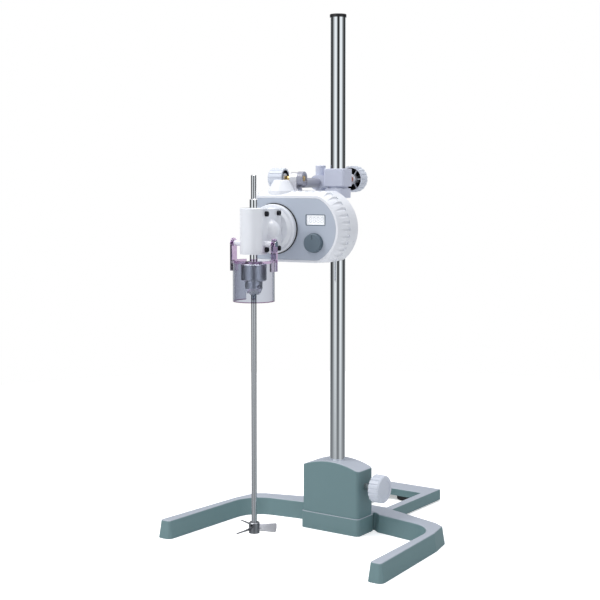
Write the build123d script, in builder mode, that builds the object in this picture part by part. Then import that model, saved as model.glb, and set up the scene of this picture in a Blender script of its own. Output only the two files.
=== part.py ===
from build123d import *
import os
from math import asin, atan, cos, degrees, pi, radians, sin, sqrt

# Overhead stirrer on a stand with two forward legs.
# Lengths are in millimetres. The origin is on the column's axis at the bench,
# +X to the right, -Y to the front where the vessel stands, and +Z up.

# ---------------------------------------------------------------- fits
slide_fit = 0.06          # radial clearance of a shaft that turns or slides
seat_fit = 0.05           # radial clearance of a piece that is fixed in its seat
face_gap = 0.3            # gap between faces that move past one another

# ---------------------------------------------------------------- column
column_r = 12.0
column_wall = 2.5
column_foot = 12.0        # height of the column's lower end in its socket
column_top = 807.0
cap_r = 13.0
cap_height = 5.0
cap_plug = 18.0

# ---------------------------------------------------------------- column socket
socket_half_width = 52.5
socket_half_depth = 22.5
socket_shoulder = 101.0   # height of the arched top at its sides
socket_crown = 112.0      # height of the arched top at the column
socket_corner_r = 6.0
plinth_height = 27.0
plinth_step = 1.5
socket_edge_r = 2.0

# ---------------------------------------------------------------- legs
leg_height = 28.0
leg_draft = 8.0           # slope of the legs' sides, in degrees
bar_depth = 43.0          # depth of the bar behind the socket that carries both legs
arm_root_x = 64.0         # where the cross-arm leaves the socket's side
arm_root_y = 17.0
inner_elbow_x = 170.0
inner_elbow_y = 0.0
inner_elbow_r = 46.0
tip_inner_x = 178.0
tip_outer_x = 204.0
tip_y = -201.0
outer_elbow_x = 191.0
outer_elbow_y = -22.0
end_corner_x = 182.0
end_corner_y = 21.0
rear_corner_x = 164.0
rear_corner_y = 33.0
leg_edge_r = 2.5
leg_corner_r = 8.0
foot_pad_r = 8.0
foot_pad_depth = 3.0
foot_pad_tip = 16.0       # distance of the front pads' centres from the tip

# ---------------------------------------------------------------- rear frame
frame_half_width = 51.0
frame_bar = 15.0
frame_rear = 247.0
frame_cross_depth = 41.0
frame_top = 20.0
frame_bottom = 2.0
frame_cross_bottom = 8.0
frame_tie = 6.0
frame_edge_r = 1.5
rear_foot_r = 20.0

# ---------------------------------------------------------------- base fasteners
base_screw_r = 4.0
base_screw_head_r = 6.5
base_screw_head = 8.0
base_screw_x = 22.0
base_screw_z = 13.0
base_screw_thread = 14.0
tie_screw_x = 43.0
tie_screw_r = 3.0
tie_screw_head_r = 5.0
tie_screw_head = 4.0
tie_screw_length = 14.0

# ---------------------------------------------------------------- hand knobs
stud_r = 5.0
base_knob_z = 75.0
base_knob_r = 21.5
base_knob_start = 70.0
base_knob_length = 18.0
clamp_knob_r = 21.0
clamp_knob_start = 50.0
clamp_knob_length = 24.0
tilt_knob_r = 15.5
tilt_knob_length = 24.0
tilt_stud_r = 4.0
knob_wall = 3.0
knob_floor = 3.0
knob_hub_wall = 3.5
knob_spokes = 6
spoke_thickness = 1.8
flute_r = 1.6
flute_pitch = 7.0
knob_chamfer = 2.0
knob_dish_share = 0.7     # of the knob's radius, the shallow dish in its closed face
knob_dish = 0.8

# ---------------------------------------------------------------- clamp on the column
head_yaw = 9.6            # turn of the clamp, the arm and the head about the column
clamp_half = 17.5
clamp_bottom = 544.0
clamp_top = 572.0
clamp_spigot_r = 15.5
clamp_edge_r = 4.0
collar_height = 15.0
collar_drop = 3.0         # gap between the collar and the clamp's body
collar_corner_r = 9.0     # the barrel swings past the collar's corners
collar_chamfer = 0.8
clamp_screw_z = 555.0
screw_boss_r = 9.5
screw_boss_length = 13.0
pad_thickness = 3.0
collar_screw_r = 3.0

# ---------------------------------------------------------------- arm and tilt joint
arm_u = -30.5             # the arm's axis, right of the column's axis in the head's frame
arm_z = 550.0
arm_r = 7.5
arm_rear = 16.0
arm_sleeve_r = 11.5
arm_sleeve_half = 14.0
barrel_r = 8.0
barrel_v = 2.0
barrel_bottom = 536.0
barrel_top = 577.0
arm_screw_r = 3.0
arm_screw_head_r = 5.0
arm_screw_head = 6.0
tilt_v = -68.0
tilt_z = 557.0
eye_r = 10.5
eye_width = 9.0
ear_width = 12.0
ear_r = 9.5
nut_r = 6.5
nut_depth = 4.0
bracket_front = -80.0
bracket_thickness = 3.0
bracket_margin = 4.0      # width of the bracket's foot beside its ear
brass_show = 11.0         # free length of the brass bolt between knob and ear

# ---------------------------------------------------------------- drive head
spindle_u = -49.6
spindle_v = -193.0
drive_z = 482.0           # height of the motor's axis
panel_v = -124.0
panel_left = -80.0
panel_bottom = 436.0
panel_top = 528.0
panel_arc_r = 51.0
panel_right = 50.5
panel_thickness = 3.0
panel_corner_r = 4.0
arc_blend_r = 16.0        # blend between the straight edges and the round end
rim_low = 3.5             # white rim round the panel at the front
rim_high = 10.5           # the same once the shoulder has flared
shoulder_depth = 18.0
front_shell_depth = 34.0
housing_back = -60.0
shell_wall = 2.5
rear_edge_r = 5.0
rib_pitch = 10.5
rib_start = -24.0         # first groove, from the centre of the round end
rib_flat_count = 5
rib_margin = 3.0          # plain band between the grooves and the parting line
rib_groove_r = 3.2
rib_groove_depth = 2.0
rib_clear = 0.4           # how far the cutters start outside the rim, so that the grooves fade out
panel_ledge = 2.5
window_u = 17.6
window_z = 496.0
window_width = 30.3
window_height = 15.0
window_frame = 2.0
display_thickness = 1.6
speed_u = 15.4
speed_z = 462.0
speed_knob_r = 13.75
speed_knob_height = 8.0
speed_knob_base = 1.0
pot_shaft_r = 3.0
pot_r = 11.0
pot_depth = 9.0
display_width = 38.0
display_height = 23.0
display_depth = 5.0
board_left = -12.0
board_bottom = 480.0
board_width = 56.0
board_height = 40.0
board_thickness = 1.6
board_v = -98.0
post_r = 3.0
post_inset = 5.0
socket_u = 18.0
socket_z = 459.0
socket_width = 28.0
socket_height = 20.0
socket_depth = 18.0
socket_flange = 2.0
socket_corner = 3.0
socket_ear = 5.0          # how far the flange stands out at the inlet's sides
socket_lip = 4.0          # the same above and below
socket_room = 2.0         # room round the inlet in the housing's cut-out
socket_wall = 2.0
contact_length = 12.0
contact_thickness = 1.8
contact_width = 4.0
contact_spread = 5.5      # the outer contacts lie this far to the sides
contact_drop = 1.5        # and this far below the middle, with the third as far above
switch_u = 18.0
switch_z = 500.0
switch_width = 14.0
switch_height = 20.0
switch_depth = 12.0
rocker_travel = 1.6
rocker_pivot_r = 2.4
rocker_ease = 0.8         # the rocker's ends are shorter than its frame by this
rocker_pivot_v = -62.0    # the rocker turns about a round pin at its back
vent_count = 5
vent_pitch = 9.0
vent_width = 34.0
vent_height = 3.0
housing_screw_r = 1.5
housing_screw_head_r = 2.8
housing_screw_head = 2.0
housing_boss_r = 5.5
housing_boss_merge = 0.6   # how far the bosses run into the shells' walls
housing_boss_length = 20.0
housing_screw_left = -81.0
housing_screw_right = 20.0
cover_base_r = 20.5
cover_top_r = 11.0
cover_skirt_r = 21.5      # at the skirt's foot, on the shells' shoulder
cover_skirt = 9.0
cover_edge_r = 2.5
cover_v = -101.0
cover_height = 16.5

# ---------------------------------------------------------------- gear case
case_barrel_r = 20.0
case_bottom = 448.0
case_top = 515.0
case_left = 17.6          # half-width of the block to the left of the spindle
case_split = 15.0         # where the cover is seated, right of the spindle
case_cover = 3.0
flange_r = 37.0
flange_depth = 9.0
block_step = 2.0          # the block behind the barrel is this much lower and higher
pinion_room = 10.0        # half-height of the room round the pinion
pinion_room_depth = 35.0
gear_room = 1.0           # clearance round the spindle's gear
flange_gap = 0.8
neck_r = 5.0              # length of the cone between the flange and the block
neck_slope = 40.0
dome_v = -170.0
dome_r = 15.5
dome_height = 11.5
dome_foot_r = 2.5
cover_screw_r = 2.0
cover_screw_head_r = 3.8
cover_screw_head = 4.4
cover_screw_sink = 0.6
cover_screw_socket = 0.6   # of the head's height, the hexagon socket's depth
cover_screw_length = 2.6
cover_screw_front = -190.0
cover_screw_rear = -150.0
cover_screw_low = 454.5
cover_screw_high = 506.5
spigot_r = 21.5
bearing_r = 12.0
bearing_height = 6.0
bearing_lip = 3.0
bearing_recess = 1.5
bearing_play = 0.5        # clearance of the spindle in the case's top

# ---------------------------------------------------------------- drive train
spindle_r = 6.0
spindle_bore_r = 4.1
spindle_top = 528.0
spindle_bottom = 424.0
gear_pitch_r = 11.0
pinion_pitch_r = 5.5
gear_teeth = 24
pinion_teeth = 12
gear_face = 4.0           # width of the teeth, along the pitch cone
tooth_height = 0.75       # of the large end's teeth, above the pitch cone
tooth_share = 0.42        # of the pitch that a tooth fills
gear_back = 3.0
gear_hub_r = 8.5
gear_hub = 6.0
pinion_hub_r = 4.6
pinion_hub = 5.0
motor_r = 26.5
motor_length = 50.0
motor_cap_r = 17.0
motor_cap = 4.0
motor_shaft_r = 4.0
pinion_shaft_r = 2.0

# ---------------------------------------------------------------- chuck and tool
chuck_top = 434.0
sleeve_bottom = 409.0
nose_bottom = 391.0
sleeve_r = 19.0
chuck_core_r = 11.0
nose_r = 13.0
nose_tip_r = 10.0
key_teeth = 30
key_tooth_depth = 2.0
key_hole_r = 2.8
key_hole_z = 401.0
jaw_r = 3.0
jaw_angle = 15.0
jaw_length = 24.0
sleeve_wall = 3.8
jaw_room = 12.0           # height of the room that the sleeve leaves for the jaws
shaft_r = 4.0
shaft_bottom = 37.0
shaft_top = 563.0
propeller_r = 33.0
propeller_hub_r = 8.0
propeller_hub = 16.0
blade_count = 3
blade_root_width = 11.0
blade_tip_width = 20.0
blade_thickness = 1.6
blade_root_pitch = 42.0
blade_tip_pitch = 24.0
hub_screw_r = 2.0

# ---------------------------------------------------------------- chuck guard
guard_r = 30.5
guard_wall = 2.2
guard_bottom = 379.0
guard_top = 439.0
guard_opening = 46.0      # width of its open rear
guard_lip = 1.6
guard_lip_height = 4.0
guard_pivot_z = 463.5
guard_arm_inner = 31.4
guard_arm_thickness = 3.6
guard_arm_width = 15.0
guard_arm_tail = 423.0
pivot_boss_r = 4.2
pivot_r = 2.5
pivot_head_r = 4.5
pivot_head = 1.6
pivot_reach = 9.0         # depth of the pivot screws in their bosses

# ---------------------------------------------------------------- planes
head_right = Vector(cos(radians(head_yaw)), sin(radians(head_yaw)), 0)
head_rear = Vector(-sin(radians(head_yaw)), cos(radians(head_yaw)), 0)
head_forward = head_rear * -1


def head_level(height):
    """Level plane of the head: x to its right, y to its rear, and it faces up."""
    return Plane(origin=(0, 0, height), x_dir=head_right, z_dir=(0, 0, 1))


def head_front(depth):
    """Upright plane across the head: x to its right, y up, and it faces forward."""
    return Plane(origin=head_rear * depth, x_dir=head_right, z_dir=head_forward)


def head_side(offset):
    """Upright plane along the head: x to its rear, y up, and it faces right."""
    return Plane(origin=head_right * offset, x_dir=head_rear, z_dir=head_right)


def head_point(right, rear, height):
    """A point of the head's own frame."""
    return head_right * right + head_rear * rear + Vector(0, 0, height)


def disc(plane, outer, inner=0.0, centre=(0, 0)):
    """Round face on plane, with a hole if inner is not zero."""
    with BuildSketch(plane) as face:
        with Locations(centre):
            Circle(outer)
            if inner:
                Circle(inner, mode=Mode.SUBTRACT)
    return face.sketch


spindle_axis = Axis(head_point(spindle_u, spindle_v, 0), (0, 0, 1))


def save(piece, name):
    """Label the piece and write it to its own file."""
    piece.part.label = name
    export_step(piece.part, f"parts/{name}.step")


os.makedirs("parts", exist_ok=True)

# ================================================================ base
column_height = column_top - column_foot

with BuildPart() as column:
    extrude(disc(Plane.XY.offset(column_foot), column_r, column_r - column_wall), amount=column_height)
    chamfer(column.edges().group_by(Axis.Z)[0].filter_by(GeomType.CIRCLE).sort_by(SortBy.RADIUS)[-1], 1.0)
save(column, "column")

with BuildPart() as column_cap:
    extrude(disc(Plane.XY.offset(column_top), cap_r), amount=cap_height)
    fillet(column_cap.edges().group_by(Axis.Z)[-1], 1.2)
    cap_plug_r = column_r - column_wall - seat_fit
    extrude(disc(Plane.XY.offset(column_top - cap_plug), cap_plug_r, cap_plug_r - 2.0), amount=cap_plug)
save(column_cap, "column_cap")

plinth_half_width = socket_half_width + plinth_step
plinth_half_depth = socket_half_depth + plinth_step
bar_rear = plinth_half_depth + bar_depth

with BuildPart() as column_socket:
    with BuildSketch(Plane.XZ) as socket_front:
        with BuildLine():
            Polyline(
                (-socket_half_width, socket_shoulder),
                (-socket_half_width, 0),
                (socket_half_width, 0),
                (socket_half_width, socket_shoulder),
            )
            ThreePointArc(
                (socket_half_width, socket_shoulder),
                (0, socket_crown),
                (-socket_half_width, socket_shoulder),
            )
        make_face()
    extrude(amount=socket_half_depth, both=True)
    upright = column_socket.edges().filter_by(Axis.Z)
    fillet(upright, socket_corner_r)
    fillet(column_socket.edges().group_by(Axis.Z)[-1], socket_edge_r)
    with BuildSketch() as plinth:
        RectangleRounded(2 * plinth_half_width, 2 * plinth_half_depth, socket_corner_r)
    extrude(amount=plinth_height)
    chamfer(
        column_socket.faces().filter_by(Plane.XY).sort_by(SortBy.AREA)[-2].outer_wire().edges(),
        plinth_step / 2,
    )
    extrude(
        disc(Plane.XY.offset(column_foot), column_r + seat_fit),
        amount=socket_crown,
        mode=Mode.SUBTRACT,
    )
    extrude(
        disc(Plane.YZ.offset(column_r), stud_r + slide_fit, centre=(0, base_knob_z)),
        amount=socket_half_width,
        mode=Mode.SUBTRACT,
    )
    with BuildSketch(Plane.XZ.offset(-plinth_half_depth)):
        with Locations((-base_screw_x, base_screw_z), (base_screw_x, base_screw_z)):
            Circle(base_screw_r + seat_fit)
    extrude(amount=base_screw_thread, mode=Mode.SUBTRACT)
save(column_socket, "column_socket")

with BuildPart() as base_legs:
    with BuildSketch() as leg_outline:
        with BuildLine() as half_outline:
            Polyline(
                (0, plinth_half_depth + 1.0),
                (plinth_half_width, plinth_half_depth + 1.0),
                (arm_root_x, arm_root_y),
                (inner_elbow_x, inner_elbow_y),
                (tip_inner_x, tip_y),
                (tip_outer_x, tip_y),
                (outer_elbow_x, outer_elbow_y),
                (end_corner_x, end_corner_y),
                (rear_corner_x, rear_corner_y),
                (plinth_half_width, bar_rear),
                (0, bar_rear),
            )
            mirror(about=Plane.YZ)
        make_face()
        elbows = [
            corner
            for corner in leg_outline.vertices()
            if abs(abs(corner.X) - inner_elbow_x) < 0.1 and abs(corner.Y - inner_elbow_y) < 0.1
        ]
        fillet(elbows, inner_elbow_r)
        tips = leg_outline.vertices().group_by(Axis.Y)[0]
        fillet(tips, leg_corner_r)
    extrude(amount=leg_height, taper=leg_draft)
    fillet(base_legs.faces().sort_by(Axis.Z)[-1].outer_wire().edges(), leg_edge_r)
    with BuildSketch(Plane.XY):
        with Locations((0, (plinth_half_depth + bar_rear) / 2)):
            Rectangle(2 * plinth_half_width - 8.0, bar_depth)
    extrude(amount=plinth_height)
    front_pad_y = tip_y + foot_pad_tip
    front_pad_x = (tip_inner_x + tip_outer_x) / 2 - 0.5
    rear_pad_x = (inner_elbow_x + end_corner_x) / 2
    pad_centres = [
        (front_pad_x, front_pad_y),
        (-front_pad_x, front_pad_y),
        (rear_pad_x, inner_elbow_y),
        (-rear_pad_x, inner_elbow_y),
    ]
    with BuildSketch():
        with Locations(pad_centres):
            Circle(foot_pad_r + seat_fit)
    extrude(amount=foot_pad_depth, mode=Mode.SUBTRACT)
    with BuildSketch(Plane.XZ.offset(-bar_rear)):
        with Locations((-base_screw_x, base_screw_z), (base_screw_x, base_screw_z)):
            Circle(base_screw_r + seat_fit)
    extrude(amount=bar_depth, mode=Mode.SUBTRACT)
    with BuildSketch(Plane.XZ.offset(-bar_rear)):
        with Locations((-base_screw_x, base_screw_z), (base_screw_x, base_screw_z)):
            Circle(base_screw_head_r + seat_fit)
    extrude(amount=base_screw_head, mode=Mode.SUBTRACT)
    with BuildSketch(Plane.XZ.offset(-bar_rear)):
        with Locations((-tie_screw_x, base_screw_z), (tie_screw_x, base_screw_z)):
            Circle(tie_screw_r + seat_fit)
    extrude(amount=tie_screw_length, mode=Mode.SUBTRACT)
save(base_legs, "base_legs")

with BuildPart() as leg_feet:
    with BuildSketch():
        with Locations(pad_centres):
            Circle(foot_pad_r)
    extrude(amount=foot_pad_depth)
save(leg_feet, "leg_feet")

with BuildPart() as base_screws:
    screw_plane = Plane.XZ.offset(-bar_rear)
    screw_length = bar_depth + base_screw_thread
    for screw_x in (-base_screw_x, base_screw_x):
        extrude(
            disc(screw_plane, base_screw_r, centre=(screw_x, base_screw_z)),
            amount=screw_length - 0.5,
        )
        extrude(
            disc(screw_plane, base_screw_head_r, centre=(screw_x, base_screw_z)),
            amount=base_screw_head,
        )
        with BuildSketch(screw_plane):
            with Locations((screw_x, base_screw_z)):
                RegularPolygon(base_screw_r, 6)
        extrude(amount=base_screw_head / 2, mode=Mode.SUBTRACT)
save(base_screws, "base_screws")

frame_front = bar_rear
with BuildPart() as rear_frame:
    frame_depth = frame_rear - frame_front
    with BuildSketch(Plane.XY.offset(frame_bottom)):
        with Locations((0, frame_front + frame_depth / 2)):
            Rectangle(2 * frame_half_width, frame_depth)
            Rectangle(2 * (frame_half_width - frame_bar), frame_depth + 1.0, mode=Mode.SUBTRACT)
        with Locations((0, frame_front + frame_tie / 2)):
            Rectangle(2 * frame_half_width, frame_tie)
    extrude(amount=frame_top - frame_bottom)
    with BuildSketch(Plane.XY.offset(frame_cross_bottom)):
        with Locations((0, frame_rear - frame_cross_depth / 2)):
            Rectangle(2 * frame_half_width, frame_cross_depth)
    extrude(amount=frame_top - frame_cross_bottom)
    fillet(rear_frame.faces().sort_by(Axis.Z)[-1].edges(), frame_edge_r)
    tie_face = Plane.XZ.offset(-frame_front - frame_tie)
    for screw_x in (-tie_screw_x, tie_screw_x):
        extrude(
            disc(tie_face, tie_screw_head_r + seat_fit, centre=(screw_x, base_screw_z)),
            amount=tie_screw_head,
            mode=Mode.SUBTRACT,
        )
        extrude(
            disc(tie_face, tie_screw_r + seat_fit, centre=(screw_x, base_screw_z)),
            amount=frame_tie,
            mode=Mode.SUBTRACT,
        )
save(rear_frame, "rear_frame")

with BuildPart() as frame_screws:
    for screw_x in (-tie_screw_x, tie_screw_x):
        extrude(
            disc(tie_face, tie_screw_head_r, centre=(screw_x, base_screw_z)),
            amount=tie_screw_head,
        )
        extrude(
            disc(tie_face, tie_screw_r, centre=(screw_x, base_screw_z)),
            amount=frame_tie + tie_screw_length - face_gap,
        )
save(frame_screws, "frame_screws")

with BuildPart() as rear_foot:
    foot_y = frame_rear - frame_cross_depth / 2
    extrude(disc(Plane.XY, rear_foot_r, centre=(0, foot_y)), amount=frame_cross_bottom)
    fillet(rear_foot.edges().filter_by(GeomType.CIRCLE), 1.5)
save(rear_foot, "rear_foot")


# ================================================================ hand knobs
def hand_knob(plane, radius, length, bore_r):
    """Fluted knob: its open side lies on plane, its closed face is length away."""
    flutes = round(2 * pi * radius / flute_pitch)
    hub_r = bore_r + knob_hub_wall
    inner_r = radius - knob_wall
    room = length - knob_floor
    with BuildPart() as knob:
        extrude(disc(plane, radius), amount=length)
        chamfer(knob.faces().sort_by(Axis(plane.origin, plane.z_dir))[-1].edges(), knob_chamfer)
        with BuildSketch(plane):
            with PolarLocations(radius + flute_r / 3, flutes):
                Circle(flute_r)
        extrude(amount=length, mode=Mode.SUBTRACT)
        extrude(disc(plane, inner_r, hub_r), amount=room, mode=Mode.SUBTRACT)
        with BuildSketch(plane.offset(room / 3)):
            with PolarLocations((inner_r + hub_r) / 2, knob_spokes):
                Rectangle(inner_r - hub_r + 1.0, spoke_thickness)
        extrude(amount=room - room / 3)
        extrude(disc(plane, bore_r), amount=room, mode=Mode.SUBTRACT)
        extrude(disc(plane.offset(length), knob_dish_share * radius), amount=-knob_dish, mode=Mode.SUBTRACT)
    return knob


base_knob_plane = Plane.YZ.offset(base_knob_start)
base_knob_face = Plane(
    origin=(base_knob_start, 0, base_knob_z), x_dir=base_knob_plane.x_dir, z_dir=base_knob_plane.z_dir
)
base_knob = hand_knob(base_knob_face, base_knob_r, base_knob_length, stud_r + seat_fit)
save(base_knob, "base_knob")

with BuildPart() as base_knob_stud:
    stud_end = base_knob_start + base_knob_length - knob_floor
    extrude(
        disc(Plane.YZ.offset(column_r + face_gap), stud_r, centre=(0, base_knob_z)),
        amount=stud_end - column_r - face_gap,
    )
    chamfer(base_knob_stud.edges().group_by(Axis.X)[0], 0.8)
save(base_knob_stud, "base_knob_stud")

# ================================================================ clamp on the column
collar_top = clamp_bottom - collar_drop
collar_bottom = collar_top - collar_height
clamp_bore_r = column_r + slide_fit
screw_slot_z = collar_bottom + collar_height / 2

with BuildPart() as height_collar:
    with BuildSketch(head_level(collar_bottom)):
        Rectangle(2 * clamp_half, 2 * clamp_half)
    extrude(amount=collar_height)
    fillet(height_collar.edges().filter_by(Axis.Z), collar_corner_r)
    chamfer(height_collar.faces().filter_by(Plane.XY).edges(), collar_chamfer)
    extrude(disc(head_level(collar_bottom), clamp_bore_r), amount=collar_height, mode=Mode.SUBTRACT)
    extrude(
        disc(head_side(-clamp_half), collar_screw_r + seat_fit, centre=(0, screw_slot_z)),
        amount=clamp_half,
        mode=Mode.SUBTRACT,
    )
save(height_collar, "height_collar")

with BuildPart() as collar_screw:
    screw_run = clamp_half - column_r - face_gap
    extrude(disc(head_side(-clamp_half), collar_screw_r, centre=(0, screw_slot_z)), amount=screw_run)
    with BuildSketch(head_side(-clamp_half)):
        with Locations((0, screw_slot_z)):
            RegularPolygon(collar_screw_r * 0.55, 6)
    extrude(amount=screw_run / 2, mode=Mode.SUBTRACT)
save(collar_screw, "collar_screw")

arm_bore_r = arm_r + seat_fit
with BuildPart() as clamp_body:
    with BuildSketch(head_level(clamp_bottom)):
        Rectangle(2 * clamp_half, 2 * clamp_half)
    extrude(amount=clamp_top - clamp_bottom)
    fillet(clamp_body.edges().filter_by(Axis.Z), clamp_edge_r)
    chamfer(clamp_body.faces().filter_by(Plane.XY).edges(), 1.0)
    extrude(disc(head_level(collar_top + face_gap), clamp_spigot_r), amount=collar_drop + 1.0)
    with BuildSketch(head_front(arm_sleeve_half)):
        with Locations((arm_u, arm_z)):
            Circle(arm_sleeve_r)
        with Locations((arm_u / 2, arm_z + 2.0)):
            Rectangle(abs(arm_u), 2 * arm_sleeve_r - 4.0)
    extrude(amount=2 * arm_sleeve_half)
    extrude(
        disc(head_level(barrel_bottom), barrel_r, centre=(arm_u, barrel_v)),
        amount=barrel_top - barrel_bottom,
    )
    chamfer(clamp_body.faces().sort_by(Axis.Z)[-1].edges(), 1.0)
    extrude(
        disc(head_front(clamp_half + screw_boss_length), screw_boss_r, centre=(0, clamp_screw_z)),
        amount=screw_boss_length + clamp_edge_r,
    )
    extrude(
        disc(head_level(barrel_bottom), clamp_bore_r),
        amount=clamp_top - barrel_bottom,
        mode=Mode.SUBTRACT,
    )
    extrude(
        disc(head_front(arm_rear + face_gap), arm_bore_r, centre=(arm_u, arm_z)),
        amount=arm_rear + face_gap + arm_sleeve_half + barrel_r,
        mode=Mode.SUBTRACT,
    )
    extrude(
        disc(head_level(arm_z), arm_screw_r + seat_fit, centre=(arm_u, barrel_v)),
        amount=barrel_top - arm_z,
        mode=Mode.SUBTRACT,
    )
    extrude(
        disc(head_level(barrel_top - arm_screw_head), arm_screw_head_r + seat_fit, centre=(arm_u, barrel_v)),
        amount=arm_screw_head,
        mode=Mode.SUBTRACT,
    )
    extrude(
        disc(
            head_front(clamp_half + screw_boss_length),
            stud_r + slide_fit,
            centre=(0, clamp_screw_z),
        ),
        amount=clamp_half + screw_boss_length,
        mode=Mode.SUBTRACT,
    )
save(clamp_body, "clamp_body")

with BuildPart() as clamp_pad:
    pad_front = clamp_bore_r + face_gap
    extrude(
        disc(head_front(pad_front + pad_thickness), stud_r, centre=(0, clamp_screw_z)),
        amount=pad_thickness,
    )
save(clamp_pad, "clamp_pad")

with BuildPart() as clamp_screw:
    screw_tip = pad_front + pad_thickness + face_gap
    screw_end = clamp_knob_start + clamp_knob_length - knob_floor
    extrude(
        disc(head_front(screw_end), stud_r, centre=(0, clamp_screw_z)),
        amount=screw_end - screw_tip,
    )
save(clamp_screw, "clamp_screw")

clamp_knob_face = Plane(
    origin=head_point(0, clamp_knob_start, clamp_screw_z), x_dir=head_right, z_dir=head_rear
)
clamp_knob = hand_knob(clamp_knob_face, clamp_knob_r, clamp_knob_length, stud_r + seat_fit)
save(clamp_knob, "clamp_knob")

# ================================================================ arm and tilt joint
ear_left = arm_u - arm_r - 2.0 - ear_width + eye_width / 2
ear_right = ear_left + ear_width
eye_left = ear_right + face_gap
eye_right = eye_left + eye_width

with BuildPart() as arm:
    arm_front = tilt_v + tilt_stud_r
    extrude(
        disc(head_front(arm_rear), arm_r, centre=(arm_u, arm_z)),
        amount=arm_rear - arm_front,
    )
    with BuildSketch(head_side(ear_left)):
        with Locations((tilt_v + ear_r + face_gap, arm_z)):
            Rectangle(2 * ear_r + face_gap, 4 * arm_r, align=(Align.MAX, Align.CENTER))
    extrude(amount=eye_left - ear_left, mode=Mode.SUBTRACT)
    extrude(disc(head_side(eye_left), eye_r, centre=(tilt_v, tilt_z)), amount=eye_width)
    extrude(
        disc(head_side(eye_left), tilt_stud_r + slide_fit, centre=(tilt_v, tilt_z)),
        amount=eye_width,
        mode=Mode.SUBTRACT,
    )
    extrude(
        disc(head_side(eye_right - nut_depth), nut_r + seat_fit * 2, centre=(tilt_v, tilt_z)),
        amount=nut_depth + 2 * arm_r,
        mode=Mode.SUBTRACT,
    )
    extrude(
        disc(head_level(arm_z), arm_screw_r + seat_fit, centre=(arm_u, barrel_v)),
        amount=arm_r,
        mode=Mode.SUBTRACT,
    )
save(arm, "arm")

with BuildPart() as arm_screw:
    head_plane = head_level(barrel_top - arm_screw_head)
    extrude(disc(head_plane, arm_screw_head_r, centre=(arm_u, barrel_v)), amount=arm_screw_head - 0.5)
    with BuildSketch(head_level(barrel_top - arm_screw_head / 2)):
        with Locations((arm_u, barrel_v)):
            RegularPolygon(arm_screw_r * 0.9, 6)
    extrude(amount=arm_screw_head, mode=Mode.SUBTRACT)
    screw_low = arm_z + face_gap
    extrude(
        disc(head_level(screw_low), arm_screw_r, centre=(arm_u, barrel_v)),
        amount=barrel_top - arm_screw_head - screw_low,
    )
save(arm_screw, "arm_screw")

knob_open = ear_left - brass_show
with BuildPart() as tilt_bolt:
    bolt_left = knob_open - tilt_knob_length + knob_floor
    bolt_right = eye_right - face_gap
    extrude(
        disc(head_side(bolt_left), tilt_stud_r, centre=(tilt_v, tilt_z)),
        amount=bolt_right - bolt_left,
    )
save(tilt_bolt, "tilt_bolt")

with BuildPart() as tilt_nut:
    nut_left = eye_right - nut_depth
    extrude(
        disc(head_side(nut_left), nut_r, tilt_stud_r + seat_fit, centre=(tilt_v, tilt_z)),
        amount=nut_depth - 1.0,
    )
save(tilt_nut, "tilt_nut")

tilt_knob_face = Plane(
    origin=head_point(knob_open, tilt_v, tilt_z), x_dir=head_rear, z_dir=head_right * -1
)
tilt_knob = hand_knob(tilt_knob_face, tilt_knob_r, tilt_knob_length, tilt_stud_r + seat_fit)
save(tilt_knob, "tilt_knob")

# ================================================================ drive head's shells
bracket_seat = panel_top + rim_high
bracket_rear = housing_back - rear_edge_r

with BuildPart() as head_bracket:
    with BuildSketch(head_level(bracket_seat)):
        with Locations(((ear_left + ear_right) / 2, (bracket_front + bracket_rear) / 2)):
            Rectangle(ear_width + 2 * bracket_margin, bracket_rear - bracket_front)
    extrude(amount=bracket_thickness)
    with BuildSketch(head_side(ear_left)):
        with Locations((tilt_v, tilt_z)):
            Circle(ear_r)
        with Locations((tilt_v, (bracket_seat + tilt_z) / 2)):
            Rectangle(2 * ear_r, tilt_z - bracket_seat)
    extrude(amount=ear_width)
    extrude(
        disc(head_side(ear_left), tilt_stud_r + slide_fit, centre=(tilt_v, tilt_z)),
        amount=ear_width,
        mode=Mode.SUBTRACT,
    )
save(head_bracket, "head_bracket")


def head_outline(plane, growth, low_growth):
    """The D-shaped outline of the drive head: the panel's, grown by growth, and below by low_growth."""
    arc_centre_u = panel_right - panel_arc_r
    middle = (panel_top + panel_bottom) / 2
    radius = panel_arc_r + growth
    left = panel_left - growth
    top = panel_top + growth
    bottom = panel_bottom - low_growth
    top_u = arc_centre_u + sqrt(radius**2 - (top - middle) ** 2)
    bottom_u = arc_centre_u + sqrt(radius**2 - (bottom - middle) ** 2)
    with BuildSketch(plane) as outline:
        with BuildLine():
            Polyline((top_u, top), (left, top), (left, bottom), (bottom_u, bottom))
            ThreePointArc((bottom_u, bottom), (arc_centre_u + radius, middle), (top_u, top))
        make_face()
        fillet(outline.vertices().group_by(Axis.X)[0], panel_corner_r + max(growth, low_growth))
        fillet(outline.vertices().sort_by(Axis.X)[-2:], arc_blend_r)
    return outline.sketch


# ---------------------------------------------------------------- front panel
panel_back = panel_v + panel_thickness
ledge_back = panel_back + panel_ledge
shoulder_v = panel_v + shoulder_depth
shell_split = panel_v + front_shell_depth
back_inside = housing_back - shell_wall
low_inside = rim_low - shell_wall


def growth_at(depth):
    """How far the outline has flared, at a depth behind the panel's face."""
    share = min(1.0, (depth - panel_v) / shoulder_depth)
    return rim_low + (rim_high - rim_low) * share


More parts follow.
